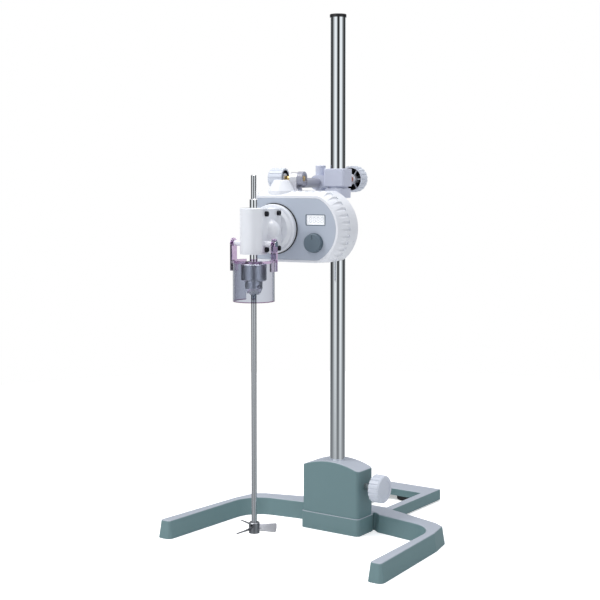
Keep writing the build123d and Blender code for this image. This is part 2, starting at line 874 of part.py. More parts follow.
with BuildPart() as front_panel:
    extrude(head_outline(head_front(panel_back), -seat_fit, -seat_fit), amount=panel_thickness)
    chamfer(front_panel.faces().sort_by(Axis((0, 0, 0), head_forward))[-1].outer_wire().edges(), 0.5)
    extrude(
        disc(head_front(panel_back), spigot_r + seat_fit, centre=(spindle_u, drive_z)),
        amount=panel_thickness,
        mode=Mode.SUBTRACT,
    )
    with BuildSketch(head_front(panel_back)):
        with Locations((window_u, window_z)):
            Rectangle(window_width, window_height)
    extrude(amount=panel_thickness, mode=Mode.SUBTRACT)
    extrude(
        disc(head_front(panel_back), pot_shaft_r + slide_fit, centre=(speed_u, speed_z)),
        amount=panel_thickness,
        mode=Mode.SUBTRACT,
    )
save(front_panel, "front_panel")

with BuildPart() as display_window:
    with BuildSketch(head_front(panel_back)) as window_face:
        with Locations((window_u, window_z)):
            Rectangle(window_width - 2 * seat_fit, window_height - 2 * seat_fit)
    extrude(amount=panel_thickness)
    with BuildSketch(head_front(panel_v)):
        with Locations((window_u, window_z)):
            Rectangle(window_width - 2 * window_frame, window_height - 2 * window_frame)
    extrude(amount=-(panel_thickness - display_thickness), mode=Mode.SUBTRACT)
save(display_window, "display_window")

with BuildPart() as display_board:
    with BuildSketch(head_front(panel_back + display_depth)):
        with Locations((window_u, window_z)):
            Rectangle(display_width, display_height)
    extrude(amount=display_depth)
save(display_board, "display_board")

with BuildPart() as speed_control:
    extrude(disc(head_front(panel_back + pot_depth), pot_r, centre=(speed_u, speed_z)), amount=pot_depth)
    extrude(
        disc(head_front(panel_back), pot_shaft_r + slide_fit, centre=(speed_u, speed_z)),
        amount=-pot_depth / 2,
        mode=Mode.SUBTRACT,
    )
save(speed_control, "speed_control")

with BuildPart() as speed_knob:
    knob_back = panel_v - face_gap
    extrude(disc(head_front(knob_back), speed_knob_r + 1.0, centre=(speed_u, speed_z)), amount=speed_knob_base)
    extrude(
        disc(head_front(knob_back), speed_knob_r, centre=(speed_u, speed_z)),
        amount=speed_knob_height,
    )
    knob_face = speed_knob.faces().sort_by(Axis((0, 0, 0), head_forward))[-1]
    fillet(knob_face.edges(), 1.5)
    stem_back = panel_back + pot_depth / 2 - face_gap
    extrude(
        disc(head_front(stem_back), pot_shaft_r, centre=(speed_u, speed_z)),
        amount=stem_back - knob_back,
    )
    with BuildSketch(head_front(knob_back - speed_knob_height)):
        with Locations((speed_u, speed_z + speed_knob_r * 0.66)):
            SlotOverall(speed_knob_r * 0.5, 1.6, rotation=90)
    extrude(amount=-0.8, mode=Mode.SUBTRACT)
save(speed_knob, "speed_knob")

# ---------------------------------------------------------------- housing shells
housing_screw_low = panel_bottom - low_inside + housing_boss_r - housing_boss_merge
housing_screw_high = panel_top + rim_high - shell_wall - housing_boss_r + housing_boss_merge
screw_places = [
    (housing_screw_left, housing_screw_low),
    (housing_screw_left, housing_screw_high),
    (housing_screw_right, housing_screw_low),
    (housing_screw_right, housing_screw_high),
]

with BuildPart() as head_form:
    loft(
        [
            head_outline(head_front(panel_v), rim_low, rim_low),
            head_outline(head_front(shoulder_v), rim_high, rim_low),
        ]
    )
    extrude(head_outline(head_front(shell_split), rim_high, rim_low), amount=shell_split - shoulder_v)

middle_z = (panel_top + panel_bottom) / 2
arc_centre_u = panel_right - panel_arc_r
groove_back = shell_split - rib_margin
start_rise = rim_low + rib_groove_r + rib_clear
end_rise = rim_high + rib_groove_r - rib_groove_depth
half_flat = degrees(asin((panel_top + rim_high - middle_z) / (panel_arc_r + rim_high)))
groove_turn = degrees(rib_pitch / (panel_arc_r + rim_high))
arc_grooves = int(half_flat / groove_turn)


def arc_groove_centres(rise):
    """Centres of the grooves round the head's end, rise above the panel's arc."""
    turns = [radians(groove_turn * step) for step in range(-arc_grooves, arc_grooves + 1)]
    line = panel_arc_r + rise
    return [(arc_centre_u + line * cos(turn), middle_z + line * sin(turn)) for turn in turns]


def flat_groove_centres(rise):
    """Centres of the grooves along the head's top, rise above the panel's edge."""
    return [(arc_centre_u + rib_start + rib_pitch * step, panel_top + rise) for step in range(rib_flat_count)]


groove_starts = arc_groove_centres(start_rise) + flat_groove_centres(start_rise)
groove_ends = arc_groove_centres(end_rise) + flat_groove_centres(end_rise)

with BuildPart() as housing_front:
    add(head_form)
    extrude(head_outline(head_front(panel_back), 0.0, 0.0), amount=panel_thickness, mode=Mode.SUBTRACT)
    extrude(
        head_outline(head_front(ledge_back), -panel_ledge, -panel_ledge),
        amount=panel_ledge,
        mode=Mode.SUBTRACT,
    )
    loft(
        [
            head_outline(head_front(ledge_back), growth_at(ledge_back) - shell_wall, low_inside),
            head_outline(head_front(shoulder_v), rim_high - shell_wall, low_inside),
        ],
        mode=Mode.SUBTRACT,
    )
    extrude(
        head_outline(head_front(shell_split), rim_high - shell_wall, low_inside),
        amount=shell_split - shoulder_v,
        mode=Mode.SUBTRACT,
    )
    for place in screw_places:
        extrude(
            disc(head_front(shell_split), housing_boss_r, housing_screw_r + seat_fit, centre=place),
            amount=housing_boss_length,
        )
    for start, end in zip(groove_starts, groove_ends):
        loft(
            [
                disc(head_front(panel_v), rib_groove_r, centre=start),
                disc(head_front(shoulder_v), rib_groove_r, centre=end),
            ],
            mode=Mode.SUBTRACT,
        )
        extrude(
            disc(head_front(groove_back), rib_groove_r, centre=end),
            amount=groove_back - shoulder_v,
            mode=Mode.SUBTRACT,
        )
save(housing_front, "housing_front")

with BuildPart() as housing_rear:
    extrude(head_outline(head_front(housing_back), rim_high, rim_low), amount=housing_back - shell_split)
    rear_rim = housing_rear.faces().sort_by(Axis((0, 0, 0), head_rear))[-1].edges()
    fillet(rear_rim, rear_edge_r)
    extrude(
        head_outline(head_front(back_inside), rim_high - shell_wall, low_inside),
        amount=back_inside - shell_split,
        mode=Mode.SUBTRACT,
    )
    for place in screw_places:
        extrude(disc(head_front(housing_back), housing_boss_r, centre=place), amount=housing_back - shell_split)
        extrude(
            disc(head_front(housing_back), housing_screw_r + seat_fit, centre=place),
            amount=housing_back - shell_split,
            mode=Mode.SUBTRACT,
        )
        extrude(
            disc(head_front(housing_back), housing_screw_head_r + seat_fit, centre=place),
            amount=housing_screw_head,
            mode=Mode.SUBTRACT,
        )
    post_places = [
        (board_left + post_inset, board_bottom + post_inset),
        (board_left + board_width - post_inset, board_bottom + post_inset),
        (board_left + post_inset, board_bottom + board_height - post_inset),
        (board_left + board_width - post_inset, board_bottom + board_height - post_inset),
    ]
    board_back = board_v + board_thickness
    for place in post_places:
        extrude(disc(head_front(back_inside), post_r, centre=place), amount=back_inside - board_back)
    with BuildSketch(head_front(housing_back)):
        with Locations((socket_u, socket_z)):
            Rectangle(socket_width + 2 * socket_room, socket_height + socket_room)
        with Locations((switch_u, switch_z)):
            Rectangle(switch_width, switch_height)
        with Locations((spindle_u, drive_z)):
            with GridLocations(1.0, vent_pitch, 1, vent_count):
                SlotOverall(vent_width, vent_height)
    extrude(amount=shell_wall, mode=Mode.SUBTRACT)
save(housing_rear, "housing_rear")

with BuildPart() as housing_screws:
    for place in screw_places:
        shank = housing_back - shell_split + housing_boss_length - 1.0
        extrude(disc(head_front(housing_back), housing_screw_r, centre=place), amount=shank)
        extrude(
            disc(head_front(housing_back), housing_screw_head_r, centre=place),
            amount=housing_screw_head,
        )
        with BuildSketch(head_front(housing_back)):
            with Locations(place):
                Rectangle(housing_screw_head_r * 1.4, 0.8)
                Rectangle(0.8, housing_screw_head_r * 1.4)
        extrude(amount=housing_screw_head / 2, mode=Mode.SUBTRACT)
save(housing_screws, "housing_screws")

with BuildPart() as bracket_cover:
    cover_centre = (spindle_u, cover_v)
    skirt_foot = bracket_seat - cover_skirt
    cover_crown = bracket_seat + cover_height
    loft(
        [
            disc(head_level(bracket_seat), cover_base_r, centre=cover_centre),
            disc(head_level(cover_crown), cover_top_r, centre=cover_centre),
        ]
    )
    fillet(bracket_cover.edges().group_by(Axis.Z)[-1], cover_edge_r)
    loft(
        [
            disc(head_level(skirt_foot), cover_skirt_r, centre=cover_centre),
            disc(head_level(bracket_seat), cover_base_r, centre=cover_centre),
        ]
    )
    loft(
        [
            disc(head_level(bracket_seat), cover_base_r - shell_wall, centre=cover_centre),
            disc(head_level(cover_crown - shell_wall), cover_top_r - shell_wall, centre=cover_centre),
        ],
        mode=Mode.SUBTRACT,
    )
    extrude(
        disc(head_level(skirt_foot), cover_base_r - shell_wall, centre=cover_centre),
        amount=cover_skirt,
        mode=Mode.SUBTRACT,
    )
    add(head_form, mode=Mode.SUBTRACT)
    with BuildSketch(head_level(skirt_foot)):
        with Locations((spindle_u, shell_split)):
            Rectangle(2 * cover_skirt_r, 2 * cover_skirt_r, align=(Align.CENTER, Align.MIN))
    extrude(amount=cover_skirt, mode=Mode.SUBTRACT)
save(bracket_cover, "bracket_cover")

with BuildPart() as control_board:
    with BuildSketch(head_front(board_back)):
        with Locations((board_left + board_width / 2, board_bottom + board_height / 2)):
            Rectangle(board_width, board_height)
    extrude(amount=board_thickness)
    with BuildSketch(head_front(board_v)):
        with Locations((board_left + board_width * 0.3, board_bottom + board_height * 0.6)):
            Rectangle(board_width * 0.25, board_height * 0.35)
        with Locations((board_left + board_width * 0.75, board_bottom + board_height * 0.3)):
            Rectangle(board_width * 0.2, board_height * 0.25)
    extrude(amount=6.0)
save(control_board, "control_board")

with BuildPart() as power_socket:
    with BuildSketch(head_front(housing_back + socket_flange)):
        with Locations((socket_u, socket_z)):
            RectangleRounded(socket_width + 2 * socket_ear, socket_height + 2 * socket_lip, socket_corner)
    extrude(amount=socket_flange)
    with BuildSketch(head_front(housing_back)):
        with Locations((socket_u, socket_z)):
            Rectangle(
                socket_width - 2 * socket_wall - 2 * seat_fit, socket_height - 2 * socket_wall - 2 * seat_fit
            )
    extrude(amount=socket_depth)
    with BuildSketch(head_front(housing_back + socket_flange)):
        with Locations((socket_u, socket_z)):
            Rectangle(socket_width - 4 * socket_wall, socket_height - 4 * socket_wall)
    extrude(amount=socket_depth, mode=Mode.SUBTRACT)
save(power_socket, "power_socket")

with BuildPart() as socket_contacts:
    with BuildSketch(head_front(housing_back - socket_depth + socket_flange)):
        with Locations((socket_u, socket_z)):
            with Locations((-contact_spread, -contact_drop), (0, contact_drop), (contact_spread, -contact_drop)):
                Rectangle(contact_thickness, contact_width)
    extrude(amount=-contact_length)
save(socket_contacts, "socket_contacts")

with BuildPart() as switch_frame:
    with BuildSketch(head_front(housing_back + socket_flange)):
        with Locations((switch_u, switch_z)):
            Rectangle(switch_width + 4.0, switch_height + 4.0)
    extrude(amount=socket_flange)
    with BuildSketch(head_front(housing_back)):
        with Locations((switch_u, switch_z)):
            Rectangle(switch_width - 2 * seat_fit, switch_height - 2 * seat_fit)
    extrude(amount=switch_depth)
    with BuildSketch(head_front(housing_back + socket_flange)):
        with Locations((switch_u, switch_z)):
            Rectangle(switch_width - 3.0, switch_height - 3.0)
    extrude(amount=switch_depth - 2.0, mode=Mode.SUBTRACT)
save(switch_frame, "switch_frame")

rocker_half = switch_height / 2 - 1.5 - face_gap
with BuildPart() as power_switch:
    with BuildSketch(head_side(switch_u - switch_width / 2 + 1.5 + face_gap)) as rocker_side:
        with BuildLine():
            rocker_out = housing_back + socket_flange
            Polyline(
                (rocker_out + rocker_travel, switch_z + rocker_half - rocker_ease),
                (rocker_out + 0.2, switch_z),
                (rocker_out - 1.4, switch_z - rocker_half + rocker_ease),
                (housing_back - 3.0, switch_z - rocker_half + 1.2),
                (housing_back - 3.0, switch_z + rocker_half - 1.2),
                close=True,
            )
        make_face()
    extrude(amount=switch_width - 3.0 - 2 * face_gap)
    extrude(
        disc(
            head_side(switch_u - switch_width / 2 + 1.5 + face_gap),
            rocker_pivot_r,
            centre=(rocker_pivot_v, switch_z),
        ),
        amount=switch_width - 3.0 - 2 * face_gap,
    )
save(power_switch, "power_switch")

# ================================================================ drive train
motor_front = panel_back
motor_back = motor_front + motor_length
with BuildPart() as motor:
    extrude(disc(head_front(motor_back), motor_r, centre=(spindle_u, drive_z)), amount=motor_length)
    chamfer(motor.edges().filter_by(GeomType.CIRCLE), 1.5)
    extrude(disc(head_front(motor_back + motor_cap), motor_cap_r, centre=(spindle_u, drive_z)), amount=motor_cap)
    extrude(
        disc(head_front(motor_back - motor_cap), motor_shaft_r + slide_fit, centre=(spindle_u, drive_z)),
        amount=motor_length,
        mode=Mode.SUBTRACT,
    )
save(motor, "motor")

pinion_large_v = spindle_v + gear_pitch_r
cone_length = sqrt(gear_pitch_r**2 + pinion_pitch_r**2)
small_share = 1.0 - gear_face / cone_length
pinion_small_v = spindle_v + gear_pitch_r * small_share
pinion_back_v = pinion_large_v + pinion_hub

with BuildPart() as motor_shaft:
    shaft_back = motor_back - motor_cap - face_gap
    shaft_step = pinion_back_v + face_gap
    extrude(
        disc(head_front(shaft_back), motor_shaft_r, centre=(spindle_u, drive_z)),
        amount=shaft_back - shaft_step,
    )
    extrude(
        disc(head_front(shaft_step), pinion_shaft_r, centre=(spindle_u, drive_z)),
        amount=shaft_step - pinion_small_v - 0.5,
    )
save(motor_shaft, "motor_shaft")


def bevel_teeth(apex, pitch_r, mate_r, teeth, turn):
    """Straight bevel teeth on the cone from apex along its z axis, as one lofted tooth patterned round."""
    slope = atan(pitch_r / mate_r)
    rise = tooth_height / cos(slope)
    root_r = pitch_r - rise * 1.25
    pitch_half = pi * pitch_r / teeth * tooth_share
    root_half = pitch_half * 1.35
    top_half = pitch_half * 0.6
    with BuildPart() as ring:
        profiles = []
        for share in (1.0, small_share):
            with BuildSketch(apex.offset(mate_r * share)) as section:
                with BuildLine():
                    Polyline(
                        (root_r * 0.9 * share, -root_half * share),
                        (root_r * share, -root_half * share),
                        (pitch_r * share, -pitch_half * share),
                        ((pitch_r + rise) * share, -top_half * share),
                        ((pitch_r + rise) * share, top_half * share),
                        (pitch_r * share, pitch_half * share),
                        (root_r * share, root_half * share),
                        (root_r * 0.9 * share, root_half * share),
                        close=True,
                    )
                make_face()
            profiles.append(section.sketch)
        loft(profiles, ruled=True)
    tooth = ring.part
    with BuildPart() as blank:
        loft(
            [
                disc(apex.offset(mate_r), root_r),
                disc(apex.offset(mate_r * small_share), root_r * small_share),
            ]
        )
        axis = Axis(apex.origin, apex.z_dir)
        for step in range(teeth):
            add(tooth.rotate(axis, turn + 360.0 / teeth * step))
    return blank.part


apex_point = head_point(spindle_u, spindle_v, drive_z)
pinion_apex = Plane(origin=apex_point, x_dir=head_right * -1, z_dir=head_rear)
gear_apex = Plane(origin=apex_point, x_dir=head_right, z_dir=(0, 0, -1))

with BuildPart() as pinion:
    add(bevel_teeth(pinion_apex, pinion_pitch_r, gear_pitch_r, pinion_teeth, 90.0))
    extrude(disc(pinion_apex.offset(gear_pitch_r), pinion_hub_r), amount=pinion_hub)
    extrude(
        disc(pinion_apex, pinion_shaft_r + seat_fit),
        amount=gear_pitch_r + pinion_hub,
        mode=Mode.SUBTRACT,
    )
save(pinion, "pinion")

with BuildPart() as spindle_gear:
    add(bevel_teeth(gear_apex, gear_pitch_r, pinion_pitch_r, gear_teeth, 90.0 + 180.0 / gear_teeth))
    gear_root_r = gear_pitch_r - tooth_height / cos(atan(gear_pitch_r / pinion_pitch_r)) * 1.25
    extrude(disc(gear_apex.offset(pinion_pitch_r), gear_root_r), amount=gear_back)
    extrude(disc(gear_apex.offset(pinion_pitch_r + gear_back), gear_hub_r), amount=gear_hub)
    extrude(
        disc(gear_apex, spindle_r + seat_fit),
        amount=pinion_pitch_r + gear_back + gear_hub,
        mode=Mode.SUBTRACT,
    )
save(spindle_gear, "spindle_gear")

# ================================================================ gear case
flange_back = panel_v - flange_gap
flange_front = flange_back - flange_depth
block_bottom = case_bottom + block_step
block_height = case_top - case_bottom - 2 * block_step
block_mid_v = (spindle_v + flange_front) / 2
block_depth = flange_front - spindle_v
cover_left = spindle_u + case_split
cover_right = cover_left + case_cover
bearing_seat_r = bearing_r + seat_fit
upper_bearing_top = case_top - bearing_lip
cover_screw_places = [
    (cover_screw_front, cover_screw_low),
    (cover_screw_front, cover_screw_high),
    (cover_screw_rear, cover_screw_low),
    (cover_screw_rear, cover_screw_high),
]

with BuildPart() as gear_case:
    with BuildSketch(head_level(block_bottom)):
        with Locations((spindle_u - case_left, block_mid_v)):
            Rectangle(case_left + case_split, block_depth, align=(Align.MIN, Align.CENTER))
    extrude(amount=block_height)
    extrude(
        disc(head_front(flange_back), flange_r, centre=(spindle_u, drive_z)),
        amount=flange_depth,
    )
    fillet(gear_case.edges().filter_by(GeomType.CIRCLE), 1.5)
    extrude(
        disc(head_front(flange_front), flange_r - neck_r, centre=(spindle_u, drive_z)),
        amount=neck_r,
        taper=neck_slope,
    )
    extrude(
        disc(head_level(case_bottom), case_barrel_r, centre=(spindle_u, spindle_v)),
        amount=case_top - case_bottom,
    )
    chamfer(gear_case.faces().sort_by(Axis.Z)[-1].edges(), 1.0)
    extrude(
        disc(head_side(spindle_u), pivot_boss_r, centre=(spindle_v, guard_pivot_z)),
        amount=-guard_arm_inner + face_gap,
    )
    with BuildSketch(head_level(block_bottom)):
        with Locations((cover_left, flange_front - neck_r)):
            Rectangle(case_barrel_r, block_depth + case_barrel_r, align=(Align.MIN, Align.MAX))
    extrude(amount=block_height, mode=Mode.SUBTRACT)
    extrude(
        disc(head_front(motor_front), spigot_r, centre=(spindle_u, drive_z)),
        amount=motor_front - flange_back,
    )
    extrude(
        disc(head_level(case_bottom), bearing_seat_r, centre=(spindle_u, spindle_v)),
        amount=upper_bearing_top - case_bottom,
        mode=Mode.SUBTRACT,
    )
    gear_chamber_r = gear_pitch_r + tooth_height / cos(atan(gear_pitch_r / pinion_pitch_r)) + gear_room
    gear_chamber_low = drive_z - pinion_pitch_r - gear_back - gear_hub - gear_room
    extrude(
        disc(head_level(gear_chamber_low), gear_chamber_r, centre=(spindle_u, spindle_v)),
        amount=drive_z + pinion_room - gear_chamber_low,
        mode=Mode.SUBTRACT,
    )
    extrude(
        disc(head_level(upper_bearing_top), spindle_r + bearing_play, centre=(spindle_u, spindle_v)),
        amount=bearing_lip,
        mode=Mode.SUBTRACT,
    )
    with BuildSketch(head_level(drive_z - pinion_room)):
        with Locations((cover_left, spindle_v)):
            Rectangle(case_split + pinion_room, pinion_room_depth, align=(Align.MAX, Align.MIN))
    extrude(amount=2 * pinion_room, mode=Mode.SUBTRACT)
    extrude(
        disc(head_front(motor_front), motor_shaft_r + face_gap, centre=(spindle_u, drive_z)),
        amount=motor_front - spindle_v,
        mode=Mode.SUBTRACT,
    )
    with BuildSketch(head_side(cover_left)):
        with Locations(cover_screw_places):
            Circle(cover_screw_r + seat_fit)
    extrude(amount=-cover_screw_length, mode=Mode.SUBTRACT)
    extrude(
        disc(
            head_side(spindle_u - guard_arm_inner + face_gap),
            pivot_r + seat_fit,
            centre=(spindle_v, guard_pivot_z),
        ),
        amount=pivot_reach,
        mode=Mode.SUBTRACT,
    )
save(gear_case, "gear_case")

with BuildPart() as gear_cover:
    cover_back = flange_front - neck_r - seat_fit
    with BuildSketch(head_level(block_bottom + seat_fit)):
        with Locations((spindle_u, spindle_v)):
            Circle(case_barrel_r)
        with Locations((spindle_u, spindle_v)):
            Rectangle(case_split + case_cover, cover_back - spindle_v, align=(Align.MIN, Align.MIN))
        with Locations((cover_left, spindle_v)):
            Rectangle(
                case_cover, 2 * block_depth + 2 * case_barrel_r, mode=Mode.INTERSECT, align=(Align.MIN, Align.CENTER)
            )
    extrude(amount=block_height - 2 * seat_fit)
    ball_r = (dome_r**2 + dome_height**2) / (2 * dome_height)
    ball_u = cover_right + dome_height - ball_r
    half_turn = asin(dome_r / ball_r) / 2
    with BuildSketch(head_level(drive_z)):
        with BuildLine():
            Line((cover_right, dome_v), (cover_right + dome_height, dome_v))
            ThreePointArc(
                (cover_right + dome_height, dome_v),
                (ball_u + ball_r * cos(half_turn), dome_v - ball_r * sin(half_turn)),
                (cover_right, dome_v - dome_r),
            )
            Line((cover_right, dome_v - dome_r), (cover_right, dome_v))
        make_face()
    revolve(axis=Axis(head_point(0, dome_v, drive_z), head_right))
    dome_foot = [
        edge
        for edge in gear_cover.edges().filter_by(GeomType.CIRCLE)
        if abs(edge.radius - dome_r) < 0.01 and abs((edge @ 0).dot(head_right) - cover_right) < 0.01
    ]
    fillet(dome_foot, dome_foot_r)
    boss_end = spindle_u + guard_arm_inner - face_gap
    extrude(
        disc(head_side(cover_right), pivot_boss_r, centre=(spindle_v, guard_pivot_z)),
        amount=boss_end - cover_right,
    )
    with BuildSketch(head_side(cover_left)):
        with Locations(cover_screw_places):
            Circle(cover_screw_r + seat_fit)
    extrude(amount=case_cover, mode=Mode.SUBTRACT)
    with BuildSketch(head_side(cover_right)):
        with Locations(cover_screw_places):
            Circle(cover_screw_head_r + seat_fit)
    extrude(amount=-cover_screw_sink, mode=Mode.SUBTRACT)
    extrude(
        disc(head_side(boss_end), pivot_r + seat_fit, centre=(spindle_v, guard_pivot_z)),
        amount=-pivot_reach,
        mode=Mode.SUBTRACT,
    )
save(gear_cover, "gear_cover")

with BuildPart() as gear_cover_screws:
    for place in cover_screw_places:
        sunk = cover_right - cover_screw_sink
        extrude(disc(head_side(sunk), cover_screw_head_r, centre=place), amount=cover_screw_head)
        extrude(
            disc(head_side(sunk), cover_screw_r, centre=place),
            amount=-(cover_screw_length + case_cover - cover_screw_sink),
        )
        with BuildSketch(head_side(sunk + cover_screw_head)):
            with Locations(place):
                RegularPolygon(cover_screw_r, 6)
        extrude(amount=-cover_screw_head * cover_screw_socket, mode=Mode.SUBTRACT)
save(gear_cover_screws, "gear_cover_screws")

for name, height in (
    ("upper_bearing", upper_bearing_top - bearing_height),
    ("lower_bearing", case_bottom + bearing_recess),
):
    with BuildPart() as bearing:
        extrude(
            disc(head_level(height), bearing_r, spindle_r + slide_fit, centre=(spindle_u, spindle_v)),
            amount=bearing_height,
        )
        for side in (height, height + bearing_height):
            shield = disc(
                head_level(side), bearing_r - 2.5, spindle_r + 2.5, centre=(spindle_u, spindle_v)
            )
            extrude(shield, amount=0.5, both=True, mode=Mode.SUBTRACT)
    save(bearing, name)

# ================================================================ spindle and chuck
with BuildPart() as spindle:
    extrude(
        disc(head_level(spindle_bottom), spindle_r, spindle_bore_r, centre=(spindle_u, spindle_v)),
        amount=spindle_top - spindle_bottom,
    )
    chamfer(spindle.edges().group_by(Axis.Z)[-1].sort_by(SortBy.RADIUS)[-1], 0.8)
save(spindle, "spindle")

jaw_planes = []
jaw_foot_r = shaft_r + jaw_r * 0.35
jaw_foot_z = nose_bottom - 2.0
for step in range(3):
    around = radians(head_yaw + 30.0 + 120.0 * step)
    outward = Vector(cos(around), sin(around), 0)
    along = outward * sin(radians(jaw_angle)) + Vector(0, 0, cos(radians(jaw_angle)))
    foot = head_point(spindle_u, spindle_v, jaw_foot_z) + outward * jaw_foot_r
    jaw_planes.append(Plane(origin=foot, x_dir=outward.cross(along), z_dir=along))

with BuildPart() as chuck_body:
    nose_step = sleeve_bottom - face_gap
    with BuildSketch(head_front(spindle_v)) as chuck_half:
        with BuildLine():
            Polyline(
                (spindle_u + shaft_r + face_gap, nose_bottom),
                (spindle_u + nose_tip_r, nose_bottom),
                (spindle_u + nose_r, nose_bottom + 7.0),
                (spindle_u + nose_r, nose_step),
                (spindle_u + chuck_core_r, nose_step),
                (spindle_u + chuck_core_r, chuck_top + face_gap),
                (spindle_u + nose_r, chuck_top + face_gap),
                (spindle_u + nose_r, chuck_top + 3.0),
                (spindle_u + spindle_r + seat_fit, chuck_top + 3.0),
                (spindle_u + spindle_r + seat_fit, spindle_bottom - seat_fit),
                (spindle_u + shaft_r + face_gap, spindle_bottom - seat_fit),
                close=True,
            )
        make_face()
    revolve(axis=spindle_axis)
    for plane in jaw_planes:
        extrude(
            disc(plane.offset(-jaw_r), jaw_r + slide_fit),
            amount=jaw_length + 2 * jaw_r,
            mode=Mode.SUBTRACT,
        )
    for plane in jaw_planes:
        outward = Vector(plane.z_dir.X, plane.z_dir.Y, 0).normalized() * -1
        key_plane = Plane(
            origin=head_point(spindle_u, spindle_v, key_hole_z), x_dir=(0, 0, 1), z_dir=outward
        )
        extrude(disc(key_plane.offset(shaft_r + 2.0), key_hole_r), amount=nose_r, mode=Mode.SUBTRACT)
save(chuck_body, "chuck_body")

with BuildPart() as chuck_sleeve:
    extrude(
        disc(head_level(sleeve_bottom), sleeve_r, centre=(spindle_u, spindle_v)),
        amount=chuck_top - sleeve_bottom,
    )
    chamfer(chuck_sleeve.edges().group_by(Axis.Z)[-1], 1.2)
    chamfer(chuck_sleeve.edges().group_by(Axis.Z)[0], key_tooth_depth)
    with BuildSketch(head_level(sleeve_bottom)):
        with Locations((spindle_u, spindle_v)):
            with PolarLocations(sleeve_r - key_tooth_depth / 2, key_teeth):
                Rectangle(key_tooth_depth * 2, pi * sleeve_r / key_teeth)
    extrude(amount=key_tooth_depth * 0.8, mode=Mode.SUBTRACT)
    extrude(
        disc(head_level(sleeve_bottom), chuck_core_r + slide_fit, centre=(spindle_u, spindle_v)),
        amount=chuck_top - sleeve_bottom,
        mode=Mode.SUBTRACT,
    )
    extrude(
        disc(head_level(sleeve_bottom), sleeve_r - sleeve_wall, centre=(spindle_u, spindle_v)),
        amount=jaw_room,
        mode=Mode.SUBTRACT,
    )
save(chuck_sleeve, "chuck_sleeve")

for letter, plane in zip("abc", jaw_planes):
    with BuildPart() as chuck_jaw:
        extrude(disc(plane.offset(-jaw_r), jaw_r), amount=jaw_length + jaw_r)
        extrude(
            disc(head_level(jaw_foot_z - 3 * jaw_r), shaft_r + seat_fit, centre=(spindle_u, spindle_v)),
            amount=jaw_length + 3 * jaw_r,
            mode=Mode.SUBTRACT,
        )
        split(bisect_by=head_level(jaw_foot_z), keep=Keep.TOP)
    save(chuck_jaw, f"chuck_jaw_{letter}")

# ================================================================ stirring tool
with BuildPart() as stirring_shaft:
    extrude(
        disc(head_level(shaft_bottom + 1.0), shaft_r, centre=(spindle_u, spindle_v)),
        amount=shaft_top - shaft_bottom - 1.0,
    )
    chamfer(stirring_shaft.edges().group_by(Axis.Z)[-1], 0.8)
save(stirring_shaft, "stirring_shaft")

with BuildPart() as propeller:
    blade_z = shaft_bottom + propeller_hub / 2
    for step in range(blade_count):
        around = radians(head_yaw + 20.0 + 360.0 / blade_count * step)
        outward = Vector(cos(around), sin(around), 0)
        forward = Vector(-sin(around), cos(around), 0)
        blade_faces = []
        for reach, pitch, width in (
            (propeller_hub_r - 1.5, blade_root_pitch, blade_root_width),
            (propeller_r + 2.0, blade_tip_pitch, blade_tip_width),
        ):
            chord = forward * cos(radians(pitch)) + Vector(0, 0, sin(radians(pitch)))
            origin = head_point(spindle_u, spindle_v, blade_z) + outward * reach
            with BuildSketch(Plane(origin=origin, x_dir=chord, z_dir=outward)) as blade_face:
                RectangleRounded(width, blade_thickness, blade_thickness * 0.4)
            blade_faces.append(blade_face.sketch)
        loft(blade_faces)
    extrude(
        disc(head_level(shaft_bottom - propeller_hub), propeller_r, centre=(spindle_u, spindle_v)),
        amount=3 * propeller_hub,
        mode=Mode.INTERSECT,
    )
    extrude(
        disc(head_level(shaft_bottom), propeller_hub_r, centre=(spindle_u, spindle_v)),
        amount=propeller_hub,
    )
    chamfer(propeller.edges().filter_by(GeomType.CIRCLE).group_by(Axis.Z)[-1], 1.0)
    extrude(
        disc(head_level(shaft_bottom + 1.0), shaft_r + seat_fit, centre=(spindle_u, spindle_v)),
        amount=propeller_hub,
        mode=Mode.SUBTRACT,
    )
    screw_plane = Plane(
        origin=head_point(spindle_u, spindle_v, shaft_bottom + propeller_hub - 4.5),
        x_dir=(0, 0, 1),
        z_dir=head_forward,
    )
    extrude(disc(screw_plane, hub_screw_r + seat_fit), amount=propeller_hub_r + 1.0, mode=Mode.SUBTRACT)
save(propeller, "propeller")

with BuildPart() as propeller_screw:
    extrude(
        disc(screw_plane.offset(shaft_r + seat_fit), hub_screw_r),
        amount=propeller_hub_r - shaft_r - 0.5,
    )
save(propeller_screw, "propeller_screw")

